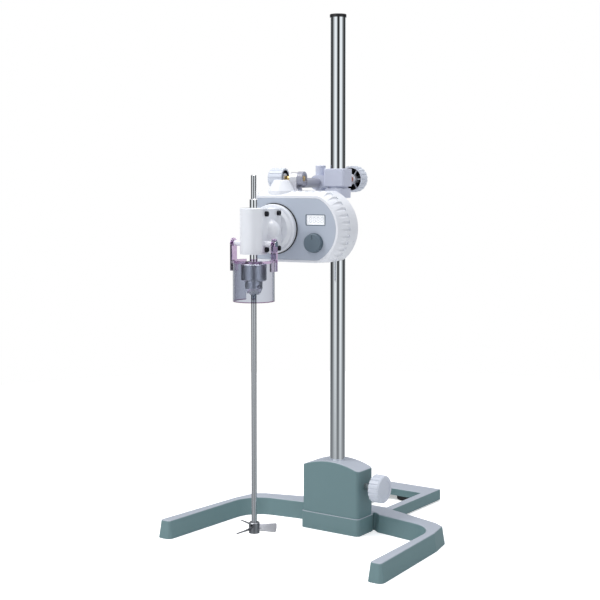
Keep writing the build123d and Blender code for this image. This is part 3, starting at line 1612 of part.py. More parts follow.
# ================================================================ chuck guard
arm_out = guard_arm_inner + guard_arm_thickness
with BuildPart() as chuck_guard:
    extrude(
        disc(head_level(guard_bottom), guard_r, centre=(spindle_u, spindle_v)),
        amount=guard_top - guard_bottom,
    )
    extrude(
        disc(head_level(guard_top - guard_lip_height), guard_r + guard_lip, centre=(spindle_u, spindle_v)),
        amount=guard_lip_height,
    )
    for sign in (-1, 1):
        inner = head_side(spindle_u + sign * guard_arm_inner)
        with BuildSketch(inner):
            with Locations((spindle_v, guard_pivot_z)):
                Circle(guard_arm_width / 2)
            with Locations((spindle_v, guard_pivot_z)):
                Rectangle(
                    guard_arm_width, guard_pivot_z - guard_arm_tail, align=(Align.CENTER, Align.MAX)
                )
        extrude(amount=sign * guard_arm_thickness)
        with BuildSketch(inner):
            with Locations((spindle_v, guard_top)):
                Rectangle(guard_arm_width, guard_top - guard_arm_tail, align=(Align.CENTER, Align.MAX))
        extrude(amount=-sign * guard_arm_thickness)
    extrude(
        disc(head_level(guard_bottom), guard_r - guard_wall, centre=(spindle_u, spindle_v)),
        amount=guard_top - guard_bottom,
        mode=Mode.SUBTRACT,
    )
    with BuildSketch(head_level(guard_bottom)):
        with Locations((spindle_u, spindle_v)):
            Rectangle(guard_opening, 2 * guard_r, align=(Align.CENTER, Align.MIN))
    extrude(amount=guard_top - guard_bottom, mode=Mode.SUBTRACT)
    extrude(
        disc(head_side(spindle_u - arm_out), pivot_r + slide_fit, centre=(spindle_v, guard_pivot_z)),
        amount=2 * arm_out,
        mode=Mode.SUBTRACT,
    )
save(chuck_guard, "chuck_guard")

with BuildPart() as guard_pivots:
    for sign in (-1, 1):
        seat = head_side(spindle_u + sign * (arm_out + face_gap))
        extrude(
            disc(seat, pivot_r, centre=(spindle_v, guard_pivot_z)),
            amount=-sign * (guard_arm_thickness + pivot_reach),
        )
        extrude(
            disc(seat, pivot_head_r, centre=(spindle_v, guard_pivot_z)),
            amount=sign * pivot_head,
        )
save(guard_pivots, "guard_pivots")
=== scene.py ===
# %% [markdown]
# # An overhead stirrer on a forked stand
# The stirrer's solids come from CAD and are already in the right place, in metres. This notebook
# gives them their finishes, adds the small pieces that CAD leaves out, and lights them. The first
# cell loads the solids.

# %% Load the stirrer's solids
import math

import bmesh
import bpy
from mathutils import Matrix, Vector


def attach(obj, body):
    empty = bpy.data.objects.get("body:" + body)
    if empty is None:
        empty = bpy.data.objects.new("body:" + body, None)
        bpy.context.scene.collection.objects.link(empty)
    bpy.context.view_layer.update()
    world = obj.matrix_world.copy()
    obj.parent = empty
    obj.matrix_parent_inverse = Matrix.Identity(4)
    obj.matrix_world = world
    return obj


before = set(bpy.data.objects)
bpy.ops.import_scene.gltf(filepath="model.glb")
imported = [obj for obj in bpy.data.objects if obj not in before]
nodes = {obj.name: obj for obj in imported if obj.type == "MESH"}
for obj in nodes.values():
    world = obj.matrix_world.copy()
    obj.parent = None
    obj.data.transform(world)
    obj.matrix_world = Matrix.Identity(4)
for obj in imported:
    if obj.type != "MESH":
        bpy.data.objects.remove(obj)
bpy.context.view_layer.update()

# %% [markdown]
# ## Camera
# A long lens stands far off to the right of the stirrer, a little above its middle. A level
# camera with a shifted lens would keep the column and the shaft exactly upright, but the shift
# also moves every other view. So the camera looks down by about three degrees, and a small shift
# does the rest. The lens is found from its focal length in pixels.

# %% Camera
picture_side = 600
focal_pixels = 1302.8
shift_pixels = 60
sensor_width_mm = 36
camera_reach = 50
camera_place = Vector((1.1148, -1.7156, 0.5738))
camera_turn = math.radians(34.68)
camera_tilt = math.radians(3.19)

lens = bpy.data.cameras.new("catalogue_lens")
lens.sensor_width = sensor_width_mm
lens.lens = sensor_width_mm * focal_pixels / picture_side
lens.shift_y = -shift_pixels / picture_side
lens.clip_end = camera_reach
camera = bpy.data.objects.new("catalogue_camera", lens)
bpy.context.scene.collection.objects.link(camera)
camera.matrix_world = (
    Matrix.Translation(camera_place)
    @ Matrix.Rotation(camera_turn, 4, "Z")
    @ Matrix.Rotation(math.pi / 2 - camera_tilt, 4, "X")
)
bpy.context.scene.camera = camera
print("lens in millimetres:", round(lens.lens, 1))

# %% [markdown]
# ## Helpers for node trees
# Every finish below is a small tree of shader nodes. A tree could be written out node by node and
# link by link, but then its meaning is hard to see. These helpers make each step one line. The
# later ones hand back the socket that carries their answer, ready for the next step.

# %% Add a node
def add_node(tree, kind, inputs=None, **settings):
    """Adds a node. inputs maps socket names or numbers to values or to sockets to link."""
    made = tree.nodes.new(kind)
    for name, value in settings.items():
        setattr(made, name, value)
    for key, value in (inputs or {}).items():
        if isinstance(value, bpy.types.NodeSocket):
            tree.links.new(value, made.inputs[key])
        else:
            made.inputs[key].default_value = value
    return made


print("helper made: add_node")

# %% Steps with numbers, vectors and colours
def number_step(tree, operation, *values, clamp=False):
    """Arithmetic on one, two or three numbers."""
    step = add_node(
        tree, "ShaderNodeMath", dict(enumerate(values)), operation=operation, use_clamp=clamp
    )
    return step.outputs[0]


def vector_step(tree, operation, *values):
    """Arithmetic on vectors. A length and a dot product come out as numbers."""
    step = add_node(tree, "ShaderNodeVectorMath", dict(enumerate(values)), operation=operation)
    return step.outputs["Value" if operation in ("LENGTH", "DOT_PRODUCT") else "Vector"]


def remap(tree, value, from_low, from_high, to_low=0.0, to_high=1.0, soft_ends=False):
    """Stretches one range of numbers onto another."""
    ends = {"From Min": from_low, "From Max": from_high, "To Min": to_low, "To Max": to_high}
    step = add_node(
        tree,
        "ShaderNodeMapRange",
        {"Value": value, **ends},
        interpolation_type="SMOOTHSTEP" if soft_ends else "LINEAR",
    )
    return step.outputs["Result"]


def mix_colours(tree, share, first, second):
    """Mixes two colours. They enter a Mix node at sockets 6 and 7, and the mix leaves at 2."""
    mix = add_node(tree, "ShaderNodeMix", {0: share, 6: first, 7: second}, data_type="RGBA")
    return mix.outputs[2]


print("helpers made: number_step, vector_step, remap, mix_colours")

# %% Colours, finishes and groups
def screen_colour(red, green, blue):
    """Linear colour with alpha from 0-255 screen values, by the sRGB curve."""
    shares = [c / 255 for c in (red, green, blue)]
    linear = [c / 12.92 if c <= 0.04045 else ((c + 0.055) / 1.055) ** 2.4 for c in shares]
    return (*linear, 1.0)


def new_finish(name):
    """A material, with its node tree and its shader."""
    made = bpy.data.materials.new(name)
    made.use_nodes = True
    return made, made.node_tree, made.node_tree.nodes["Principled BSDF"]


def new_group(name, inputs, outputs):
    """A shader node group with its sockets. inputs maps a name to (type, start value)."""
    group = bpy.data.node_groups.new(name, "ShaderNodeTree")
    for label, (kind, start) in inputs.items():
        socket = group.interface.new_socket(label, in_out="INPUT", socket_type=kind)
        socket.default_value = start
    for label, kind in outputs.items():
        group.interface.new_socket(label, in_out="OUTPUT", socket_type=kind)
    return group, group.nodes.new("NodeGroupInput"), group.nodes.new("NodeGroupOutput")


print("white as a linear colour:", screen_colour(255, 255, 255))

# %% [markdown]
# ## Shared effects
# Three effects turn up in many finishes. They could be drawn again in each material, but a node
# group is built once and placed with its own values, so a change reaches every finish. *Orange
# peel* is the soft ripple that sprayed and stoved paint keeps. *Painted top light* lightens faces
# that look up, as painted light from above. *Drawn lines* are the fine marks that polishing leaves
# along or round a metal part.

# %% Orange peel
peel_group, peel_in, peel_out = new_group(
    "orange_peel",
    {
        "Scale": ("NodeSocketFloat", 900.0),
        "Patch Scale": ("NodeSocketFloat", 14.0),
        "Roughness Low": ("NodeSocketFloat", 0.3),
        "Roughness High": ("NodeSocketFloat", 0.4),
    },
    {"Height": "NodeSocketFloat", "Roughness": "NodeSocketFloat", "Patch": "NodeSocketFloat"},
)
peel_place = add_node(peel_group, "ShaderNodeTexCoord").outputs["Object"]
ripple = add_node(
    peel_group,
    "ShaderNodeTexNoise",
    {"Vector": peel_place, "Scale": peel_in.outputs["Scale"], "Detail": 2.0},
).outputs["Fac"]
patches = add_node(
    peel_group,
    "ShaderNodeTexNoise",
    {"Vector": peel_place, "Scale": peel_in.outputs["Patch Scale"], "Detail": 4.0},
).outputs["Fac"]
peel_rough = remap(
    peel_group,
    patches,
    from_low=0.3,
    from_high=0.7,
    to_low=peel_in.outputs["Roughness Low"],
    to_high=peel_in.outputs["Roughness High"],
)
peel_group.links.new(ripple, peel_out.inputs["Height"])
peel_group.links.new(peel_rough, peel_out.inputs["Roughness"])
peel_group.links.new(patches, peel_out.inputs["Patch"])
print("orange peel has", len(peel_group.nodes), "nodes")

# %% Painted top light
# Painted light: faces that look up are lightened towards lavender, standing in for the light that
# falls on them from above.
top_light_group, top_light_in, top_light_out = new_group(
    "painted_top_light",
    {
        "Colour": ("NodeSocketColor", (0.5, 0.5, 0.5, 1.0)),
        "Top Light": ("NodeSocketColor", (0.60, 0.60, 0.70, 1.0)),
        "Amount": ("NodeSocketFloat", 0.4),
    },
    {"Colour": "NodeSocketColor"},
)
facing = add_node(top_light_group, "ShaderNodeNewGeometry")
upright = add_node(top_light_group, "ShaderNodeSeparateXYZ", {0: facing.outputs["Normal"]})
upward = remap(
    top_light_group, upright.outputs["Z"], from_low=0.25, from_high=0.95, soft_ends=True
)
top_light_share = number_step(top_light_group, "MULTIPLY", upward, top_light_in.outputs["Amount"])
top_lit = mix_colours(top_light_group, top_light_share, top_light_in.outputs["Colour"], top_light_in.outputs["Top Light"])
top_light_group.links.new(top_lit, top_light_out.inputs["Colour"])
print("settled dust has", len(top_light_group.nodes), "nodes")

# %% Drawn lines
along_z = (1.0, 1.0, 0.02)
round_z = (0.02, 0.02, 1.0)
lines_group, lines_in, lines_out = new_group(
    "drawn_lines",
    {
        "Across": ("NodeSocketVector", along_z),
        "Scale": ("NodeSocketFloat", 1500.0),
        "Roughness Low": ("NodeSocketFloat", 0.05),
        "Roughness High": ("NodeSocketFloat", 0.12),
    },
    {"Height": "NodeSocketFloat", "Roughness": "NodeSocketFloat"},
)
lines_place = add_node(lines_group, "ShaderNodeTexCoord").outputs["Object"]
stretched = vector_step(lines_group, "MULTIPLY", lines_place, lines_in.outputs["Across"])
strokes = add_node(
    lines_group,
    "ShaderNodeTexNoise",
    {"Vector": stretched, "Scale": lines_in.outputs["Scale"], "Detail": 3.0},
).outputs["Fac"]
lines_rough = remap(
    lines_group,
    strokes,
    from_low=0.35,
    from_high=0.65,
    to_low=lines_in.outputs["Roughness Low"],
    to_high=lines_in.outputs["Roughness High"],
)
lines_group.links.new(strokes, lines_out.inputs["Height"])
lines_group.links.new(lines_rough, lines_out.inputs["Roughness"])
print("drawn lines has", len(lines_group.nodes), "nodes")

# %% [markdown]
# ## Coatings and plastics
# The stand is enamelled, the head is gloss white, and the dial, knobs and feet are moulded. Paint
# and plastic have the same build: a colour that drifts a little from place to place, a roughness
# that drifts too, and a fine ripple. A clear coat on top gives gloss paint its second, sharper
# reflection. Each could be a material of its own. One function makes them all, and its values
# tell them apart.

# %% A coating or a plastic
coat_roughness = 0.08


def coating(
    name,
    colour,
    rough=(0.3, 0.4),
    peel=900,
    ripple_depth=0.00002,
    coat=0.0,
    top_light=0.0,
    drift=0.04,
):
    """A painted or moulded finish: colour drift, roughness drift, a fine ripple and painted top
    light.
    """
    made, tree, shader = new_finish(name)
    peel_node = add_node(
        tree,
        "ShaderNodeGroup",
        {"Scale": peel, "Roughness Low": rough[0], "Roughness High": rough[1]},
        node_tree=peel_group,
    )
    darker = (*(c * (1 - drift) for c in colour[:3]), 1.0)
    drifted = mix_colours(tree, peel_node.outputs["Patch"], darker, colour)
    top_lit_node = add_node(
        tree, "ShaderNodeGroup", {"Amount": top_light, "Colour": drifted}, node_tree=top_light_group
    )
    bump = add_node(
        tree,
        "ShaderNodeBump",
        {"Height": peel_node.outputs["Height"], "Distance": ripple_depth, "Strength": 1.0},
    )
    tree.links.new(top_lit_node.outputs["Colour"], shader.inputs["Base Color"])
    tree.links.new(peel_node.outputs["Roughness"], shader.inputs["Roughness"])
    tree.links.new(bump.outputs["Normal"], shader.inputs["Normal"])
    shader.inputs["Coat Weight"].default_value = coat
    shader.inputs["Coat Roughness"].default_value = coat_roughness
    return made


print("coat roughness:", coat_roughness)

# %% Enamels and paints
# The stand's enamel carries painted top light: its upward faces are lightened towards lavender.
base_enamel = coating(
    "base_enamel",
    screen_colour(110, 138, 142),
    rough=(0.34, 0.46),
    peel=700,
    ripple_depth=0.00004,
    top_light=0.6,
)
gloss_white = coating(
    "gloss_white",
    screen_colour(231, 234, 240),
    rough=(0.26, 0.34),
    peel=500,
    coat=0.35,
    drift=0.015,
)
panel_blue_grey = coating(
    "panel_blue_grey", screen_colour(182, 191, 205), rough=(0.42, 0.5), peel=2200, drift=0.02
)
# The clamp's casting carries a little painted top light on its upward faces.
clamp_casting = coating(
    "clamp_casting",
    screen_colour(202, 207, 224),
    rough=(0.3, 0.42),
    peel=800,
    ripple_depth=0.00003,
    top_light=0.1,
)
arm_enamel = coating("arm_enamel", screen_colour(150, 152, 165), rough=(0.25, 0.35), coat=0.2)
print("paints:", len(bpy.data.materials))

# %% Moulded plastics and rubber
dial_slate = coating("dial_slate", screen_colour(98, 114, 126), rough=(0.4, 0.5), peel=2500)
knob_grey = coating("knob_grey", screen_colour(208, 214, 225), rough=(0.35, 0.45), peel=2000)
black_plastic = coating("black_plastic", screen_colour(28, 28, 31), rough=(0.35, 0.5), peel=1800)
foot_rubber = coating("foot_rubber", screen_colour(34, 34, 36), rough=(0.7, 0.85), peel=1500)
segment_grey = coating("segment_grey", screen_colour(186, 192, 199), rough=(0.4, 0.5))
board_green = coating("board_green", screen_colour(38, 92, 62), coat=0.3)
print("paints and plastics:", len(bpy.data.materials))

# %% [markdown]
# ## Display
# The display is a pale board behind a clear window, set back in the panel. A lamp inside the head
# could light the board, but little of that light would get out. The board's own finish glows
# weakly instead, as painted light that lifts the recessed board out of its shade. The window could
# be glass, but so thin a pane would only darken what lies behind it. It is a coating that hardly
# covers and keeps its gloss.

# %% Display board and window
# Painted light: the board glows to make up for the light its recess keeps from it.
display_painted_glow = 0.35
window_cover = 0.12
display_white = coating("display_white", screen_colour(236, 238, 241))
display_shader = display_white.node_tree.nodes["Principled BSDF"]
display_shader.inputs["Emission Color"].default_value = (1.0, 1.0, 1.0, 1.0)
display_shader.inputs["Emission Strength"].default_value = display_painted_glow
window_clear = coating("window_clear", screen_colour(240, 242, 245), rough=(0.05, 0.08))
window_clear.node_tree.nodes["Principled BSDF"].inputs["Alpha"].default_value = window_cover
print("glow of the display:", display_painted_glow, "cover of the window:", window_cover)

# %% [markdown]
# ## Bare metals
# Chrome, stainless steel and brass are all metal, and differ in colour and in how finely they are
# polished. Lines drawn along the column and the shaft, or turned round the chuck, blur each
# reflection along one direction. The shader's own anisotropy could do it, but it needs a
# direction at every point. Noise stretched along an axis needs none, and shows as real marks from
# close by.

# %% A bare metal
def bare_metal(
    name, colour, rough=(0.05, 0.1), across=along_z, scale=1500, line_depth=0.000004
):
    """A metal with drawn or turned lines."""
    made, tree, shader = new_finish(name)
    lines = add_node(
        tree,
        "ShaderNodeGroup",
        {"Across": across, "Scale": scale, "Roughness Low": rough[0], "Roughness High": rough[1]},
        node_tree=lines_group,
    )
    bump = add_node(
        tree,
        "ShaderNodeBump",
        {"Height": lines.outputs["Height"], "Distance": line_depth, "Strength": 1.0},
    )
    shader.inputs["Base Color"].default_value = (*colour, 1.0)
    shader.inputs["Metallic"].default_value = 1.0
    tree.links.new(lines.outputs["Roughness"], shader.inputs["Roughness"])
    tree.links.new(bump.outputs["Normal"], shader.inputs["Normal"])
    return made


print("lines stretched along the column by", round(along_z[0] / along_z[2]))

# %% Polished and turned steel
mirror_depth = 0.00000003
satin_depth = 0.00000005
worn_depth = 0.0000002
column_chrome = bare_metal(
    "column_chrome", (0.80, 0.82, 0.84), rough=(0.015, 0.03), line_depth=mirror_depth
)
spindle_chrome = bare_metal(
    "spindle_chrome",
    (0.80, 0.81, 0.83),
    rough=(0.03, 0.06),
    across=round_z,
    line_depth=mirror_depth,
)
shaft_steel = bare_metal(
    "shaft_steel", (0.66, 0.67, 0.69), rough=(0.1, 0.16), line_depth=satin_depth
)
chuck_steel = bare_metal(
    "chuck_steel", (0.94, 0.93, 0.95), rough=(0.3, 0.36), across=round_z, line_depth=satin_depth
)
propeller_steel = bare_metal(
    "propeller_steel", (0.30, 0.31, 0.33), rough=(0.32, 0.42), line_depth=worn_depth
)
bracket_nickel = bare_metal(
    "bracket_nickel", (0.66, 0.66, 0.69), rough=(0.3, 0.4), line_depth=worn_depth
)
print("deepest polishing line in nanometres:", round(worn_depth * 1e9))

# %% Screws and bolts
screw_zinc = bare_metal("screw_zinc", (0.55, 0.55, 0.56), rough=(0.25, 0.35))
screw_copper = bare_metal("screw_copper", (0.60, 0.22, 0.12), rough=(0.25, 0.35))
bolt_brass = bare_metal("bolt_brass", (0.72, 0.50, 0.20), rough=(0.18, 0.28))
black_oxide = bare_metal("black_oxide", (0.035, 0.035, 0.04), rough=(0.35, 0.5))
print("all finishes so far:", len(bpy.data.materials))

# %% [markdown]
# ## Directions of the turned head
# The clamp, the arm and the head stand turned by a few degrees on the column. Their own right,
# rear and forward directions are worked out once, because some finishes and shapes below follow
# them. Those pieces could be drawn square and turned at the end, but then their patterns would
# slide. The spindle's place is kept in millimetres along these directions.

# %% The head's own directions
head_turn = math.radians(9.6)
head_right = Vector((math.cos(head_turn), math.sin(head_turn), 0.0))
head_rear = Vector((-math.sin(head_turn), math.cos(head_turn), 0.0))
head_forward = -head_rear
spindle_right = -49.6
spindle_rear = -193


def head_place(right, rear, height):
    """A point of the head, given in millimetres along its own directions."""
    return (head_right * right + head_rear * rear + Vector((0.0, 0.0, height))) / 1000


spindle_spot = head_place(spindle_right, spindle_rear, height=0)
print("the spindle's axis stands at", [round(v, 4) for v in spindle_spot])

# %% [markdown]
# ## Chuck guard
# The guard is a cup of clear violet acrylic that hangs round the chuck by two arms. Where the
# plastic is thick, at its rim, its arms and its foot, the violet is strong, and its wall is
# nearly clear. A real absorbing volume would show that, but it is slow and noisy in so thin a
# wall. So the shader passes light straight through, and the tint depends on the part of the guard
# and on how much the wall turns away. A low index of refraction keeps the chuck in its place
# behind the wall.

# %% Clear acrylic
guard_gloss = 0.02
guard_gloss_drift = 0.03
guard_violet, guard_tree, guard_shader = new_finish("guard_violet")
guard_shader.inputs["Transmission Weight"].default_value = 1.0
guard_shader.inputs["IOR"].default_value = 1.2
guard_peel = add_node(
    guard_tree,
    "ShaderNodeGroup",
    {
        "Scale": 120,
        "Roughness Low": guard_gloss,
        "Roughness High": guard_gloss + guard_gloss_drift,
    },
    node_tree=peel_group,
)
guard_tree.links.new(guard_peel.outputs["Roughness"], guard_shader.inputs["Roughness"])
print("the guard bends light by", round(guard_shader.inputs["IOR"].default_value, 2))

# %% Thick parts of the guard
rim_bottom = 0.4351
foot_top = 0.3802
arm_inside = 0.0312
guard_place = add_node(guard_tree, "ShaderNodeTexCoord").outputs["Object"]
guard_height = add_node(guard_tree, "ShaderNodeSeparateXYZ", {0: guard_place}).outputs["Z"]
at_rim = number_step(guard_tree, "GREATER_THAN", guard_height, rim_bottom)
at_foot = number_step(guard_tree, "LESS_THAN", guard_height, foot_top)
from_spindle = vector_step(guard_tree, "SUBTRACT", guard_place, spindle_spot)
to_the_side = vector_step(guard_tree, "DOT_PRODUCT", from_spindle, head_right)
side_distance = number_step(guard_tree, "ABSOLUTE", to_the_side)
at_arm = number_step(guard_tree, "GREATER_THAN", side_distance, arm_inside)
at_rim_or_arm = number_step(guard_tree, "MAXIMUM", at_rim, at_arm)
at_thick_part = number_step(guard_tree, "MAXIMUM", at_rim_or_arm, at_foot)
print("clear wall of the guard in millimetres:", round((rim_bottom - foot_top) * 1000, 1))

# %% Tint of the guard
wall_facing = (0.56, 0.59, 0.66, 1.0)
wall_edge_on = (0.32, 0.29, 0.36, 1.0)
thick_violet = (0.52, 0.40, 0.56, 1.0)
foot_violet = (0.24, 0.14, 0.24, 1.0)
edge_on = add_node(guard_tree, "ShaderNodeLayerWeight", {"Blend": 0.25}).outputs["Facing"]
wall_tint = mix_colours(guard_tree, edge_on, wall_facing, wall_edge_on)
thick_tint = mix_colours(guard_tree, at_foot, thick_violet, foot_violet)
guard_tint = mix_colours(guard_tree, at_thick_part, wall_tint, thick_tint)
guard_tree.links.new(guard_tint, guard_shader.inputs["Base Color"])
print("the guard's finish has", len(guard_tree.nodes), "nodes")

# %% [markdown]
# ## Hand knobs with painted shade
# A hand knob is moulded in light grey. The room between its hub and its rim is painted black, as
# painted shade in the knob's recessed cup. Two materials on one solid would need its faces sorted.
# One material can carry both colours if it knows how far a point lies from the knob's axis. The
# cross product of the vector from the knob's centre with the axis is as long as that distance. The
# dot product is the depth along the axis, and picks out the spokes, whose faces all lie at one
# depth.

# %% Distance from an axis
spoke_tolerance = 0.0004
axis_group, axis_in, axis_out = new_group(
    "near_axis",
    {
        "Centre": ("NodeSocketVector", (0.0, 0.0, 0.0)),
        "Axis": ("NodeSocketVector", (0.0, 0.0, 1.0)),
        "Radius": ("NodeSocketFloat", 0.01),
        "Hub": ("NodeSocketFloat", 0.005),
        "Spoke Depth": ("NodeSocketFloat", 0.007),
    },
    {"Inside": "NodeSocketFloat"},
)
axis = axis_in.outputs["Axis"]
axis_place = add_node(axis_group, "ShaderNodeTexCoord").outputs["Object"]
from_centre = vector_step(axis_group, "SUBTRACT", axis_place, axis_in.outputs["Centre"])
crossed = vector_step(axis_group, "CROSS_PRODUCT", from_centre, axis)
off_axis = vector_step(axis_group, "LENGTH", crossed)
inside = number_step(axis_group, "LESS_THAN", off_axis, axis_in.outputs["Radius"])
past_hub = number_step(axis_group, "GREATER_THAN", off_axis, axis_in.outputs["Hub"])
in_ring = number_step(axis_group, "MULTIPLY", inside, past_hub)
depth = vector_step(axis_group, "DOT_PRODUCT", from_centre, axis)
on_spoke = number_step(
    axis_group, "COMPARE", depth, axis_in.outputs["Spoke Depth"], spoke_tolerance
)
in_shade = number_step(axis_group, "SUBTRACT", in_ring, on_spoke, clamp=True)
axis_group.links.new(in_shade, axis_out.inputs["Inside"])
print("near axis has", len(axis_group.nodes), "nodes")

# %% A knob finish
# Painted shade: this black fills the recess of a knob's cup, where shade falls.
knob_recess_shade = screen_colour(24, 25, 30)


def knob_with_painted_shade(name, centre, axis, radius, hub, spoke_depth):
    """Light grey outside radius from the axis, and black painted shade inside it, but for the hub
    and spokes.
    """
    made = knob_grey.copy()
    made.name = name
    tree = made.node_tree
    shader = tree.nodes["Principled BSDF"]
    light = shader.inputs["Base Color"].links[0].from_socket
    sizes = {"Radius": radius, "Hub": hub, "Spoke Depth": spoke_depth}
    near = add_node(
        tree, "ShaderNodeGroup", {"Centre": centre, "Axis": axis, **sizes}, node_tree=axis_group
    )
    both = mix_colours(tree, near.outputs["Inside"], light, knob_recess_shade)
    tree.links.new(both, shader.inputs["Base Color"])
    return made


clamp_knob_finish = knob_with_painted_shade(
    "clamp_knob_finish",
    centre=head_place(right=0, rear=50, height=555),
    axis=head_rear,
    radius=0.0182,
    hub=0.0087,
    spoke_depth=0.007,
)
tilt_knob_finish = knob_with_painted_shade(
    "tilt_knob_finish",
    centre=head_place(right=-58.5, rear=-68, height=557),
    axis=-head_right,
    radius=0.0127,
    hub=0.0077,
    spoke_depth=0.007,
)
print("knob finishes:", clamp_knob_finish.name, tilt_knob_finish.name)

# %% [markdown]
# ## Which piece gets which finish
# Each piece could get its finish in a line of its own. A table from finish to pieces is easier to
# read and to change, and shows at once which pieces are made of the same stuff.

# %% Dress the solids
dressing = {
    base_enamel: ["base_legs", "column_socket", "rear_frame"],
    column_chrome: ["column"],
    black_plastic: [
        "column_cap",
        "power_socket",
        "switch_frame",
        "power_switch",
        "speed_control",
    ],
    foot_rubber: ["leg_feet", "rear_foot", "clamp_pad"],
    knob_grey: ["base_knob"],
    clamp_knob_finish: ["clamp_knob"],
    tilt_knob_finish: ["tilt_knob"],
    clamp_casting: ["clamp_body", "height_collar"],
    arm_enamel: ["arm"],
    bracket_nickel: ["head_bracket"],
    gloss_white: ["housing_front", "housing_rear", "bracket_cover", "gear_case", "gear_cover"],
    panel_blue_grey: ["front_panel"],
    dial_slate: ["speed_knob"],
    window_clear: ["display_window"],
    board_green: ["control_board"],
    display_white: ["display_board"],
    chuck_steel: ["chuck_body", "chuck_sleeve", "chuck_jaw_a", "chuck_jaw_b", "chuck_jaw_c"],
    shaft_steel: ["stirring_shaft", "motor", "motor_shaft"],
    spindle_chrome: ["spindle", "guard_pivots", "upper_bearing", "lower_bearing"],
    propeller_steel: ["propeller", "pinion", "spindle_gear"],
    screw_zinc: ["base_knob_stud", "tilt_nut"],
    screw_copper: ["clamp_screw"],
    bolt_brass: ["tilt_bolt", "socket_contacts"],
    black_oxide: [
        "base_screws",
        "frame_screws",
        "collar_screw",
        "arm_screw",
        "housing_screws",
        "gear_cover_screws",
        "propeller_screw",
    ],
    guard_violet: ["chuck_guard"],
}
dressed = set()
for finish, names in dressing.items():
    for name in names:
        mesh = nodes[name].data
        mesh.materials.clear()
        mesh.materials.append(finish)
        dressed.add(name)
print("dressed", len(dressed), "of", len(nodes), "solids")
print("left bare:", sorted(set(nodes) - dressed))

# %% [markdown]
# ## Shapes from geometry nodes
# Three small things follow a rule: a black ring of painted shade that follows the flange's circle,
# a dark frame that follows the display's outline, and display segments that repeat. They could be
# drawn by hand, but a geometry node tree keeps the rule and takes sizes. One helper gives each
# tree its named inputs, one closes it, and one bakes the result into a plain mesh in its place.

# %% Start and end of a shape's tree
def shape_tree(name, inputs):
    """A geometry node tree with named number inputs and one geometry output."""
    tree = bpy.data.node_groups.new(name, "GeometryNodeTree")
    for label, start in inputs.items():
        socket = tree.interface.new_socket(label, in_out="INPUT", socket_type="NodeSocketFloat")
        socket.default_value = start
    tree.interface.new_socket("Geometry", in_out="OUTPUT", socket_type="NodeSocketGeometry")
    return tree, tree.nodes.new("NodeGroupInput"), tree.nodes.new("NodeGroupOutput")


def close_tree(tree, geometry, out, finish):
    """Ends a tree: instances become real and everything gets its finish."""
    real = add_node(tree, "GeometryNodeRealizeInstances", {"Geometry": geometry})
    coated = add_node(tree, "GeometryNodeSetMaterial", {"Geometry": real.outputs[0]})
    coated.inputs["Material"].default_value = finish
    tree.links.new(coated.outputs[0], out.inputs[0])


print("helpers made: shape_tree, close_tree")

# %% Bake a shape in its place
def bake_shape(name, tree, values, place, body):
    """Runs the tree on an empty mesh, sets the result in place and lets it ride on body."""
    maker = bpy.data.objects.new(name + "_maker", bpy.data.meshes.new(name + "_seed"))
    bpy.context.scene.collection.objects.link(maker)
    modifier = maker.modifiers.new("shape", "NODES")
    modifier.node_group = tree
    for item in tree.interface.items_tree:
        if item.in_out == "INPUT" and item.name in values:
            modifier[item.identifier] = values[item.name]
    grown = maker.evaluated_get(bpy.context.evaluated_depsgraph_get())
    mesh = bpy.data.meshes.new_from_object(grown)
    bpy.data.objects.remove(maker)
    mesh.transform(place)
    piece = bpy.data.objects.new(name, mesh)
    bpy.context.scene.collection.objects.link(piece)
    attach(piece, body)
    print(name, "has", len(mesh.polygons), "faces")


def on_front(right, rear, height):
    """Places a shape drawn in X and Y on the head's front, with Z forward."""
    turn = Matrix((head_right, Vector((0.0, 0.0, 1.0)), head_forward)).transposed().to_4x4()
    return Matrix.Translation(head_place(right, rear, height)) @ turn


print("forward of the head:", [round(v, 3) for v in head_forward])

# %% [markdown]
# ## Painted shade round the flange
# A black ring stands round the gear case's flange, next to the panel, as painted shade: it draws
# the dark outline that the flange's shaded side wall shows. A torus would do, but a round section
# swept along a circle takes the ring's size and the section's size.

# %% Painted shade round the flange
flange_height = 482
shade_ring_rear = -124.9
shade_ring_radius = 0.0375
shade_ring_half_thickness = 0.0009
# Painted shade: a black ring, in the feet's rubber finish, stands round the flange where its side
# wall lies in shade.
shade_ring_tree, shade_ring_in, shade_ring_out = shape_tree(
    "flange_shade_ring", {"Ring Radius": shade_ring_radius, "Section Radius": shade_ring_half_thickness}
)
ring = add_node(
    shade_ring_tree,
    "GeometryNodeCurvePrimitiveCircle",
    {"Resolution": 160, "Radius": shade_ring_in.outputs["Ring Radius"]},
)
section = add_node(
    shade_ring_tree,
    "GeometryNodeCurvePrimitiveCircle",
    {"Resolution": 16, "Radius": shade_ring_in.outputs["Section Radius"]},
)
swept = add_node(
    shade_ring_tree,
    "GeometryNodeCurveToMesh",
    {"Curve": ring.outputs["Curve"], "Profile Curve": section.outputs["Curve"]},
)
close_tree(shade_ring_tree, swept.outputs["Mesh"], shade_ring_out, foot_rubber)
bake_shape(
    "flange_shade_ring",
    shade_ring_tree,
    {"Ring Radius": shade_ring_radius},
    on_front(spindle_right, shade_ring_rear, flange_height),
    "head",
)

# %% [markdown]
# ## Display frame
# The window has a thin dark frame with rounded corners. A bevelled plate with a hole would need
# its corners cut twice. A flat section swept along a rounded rectangle keeps the same width all
# round.

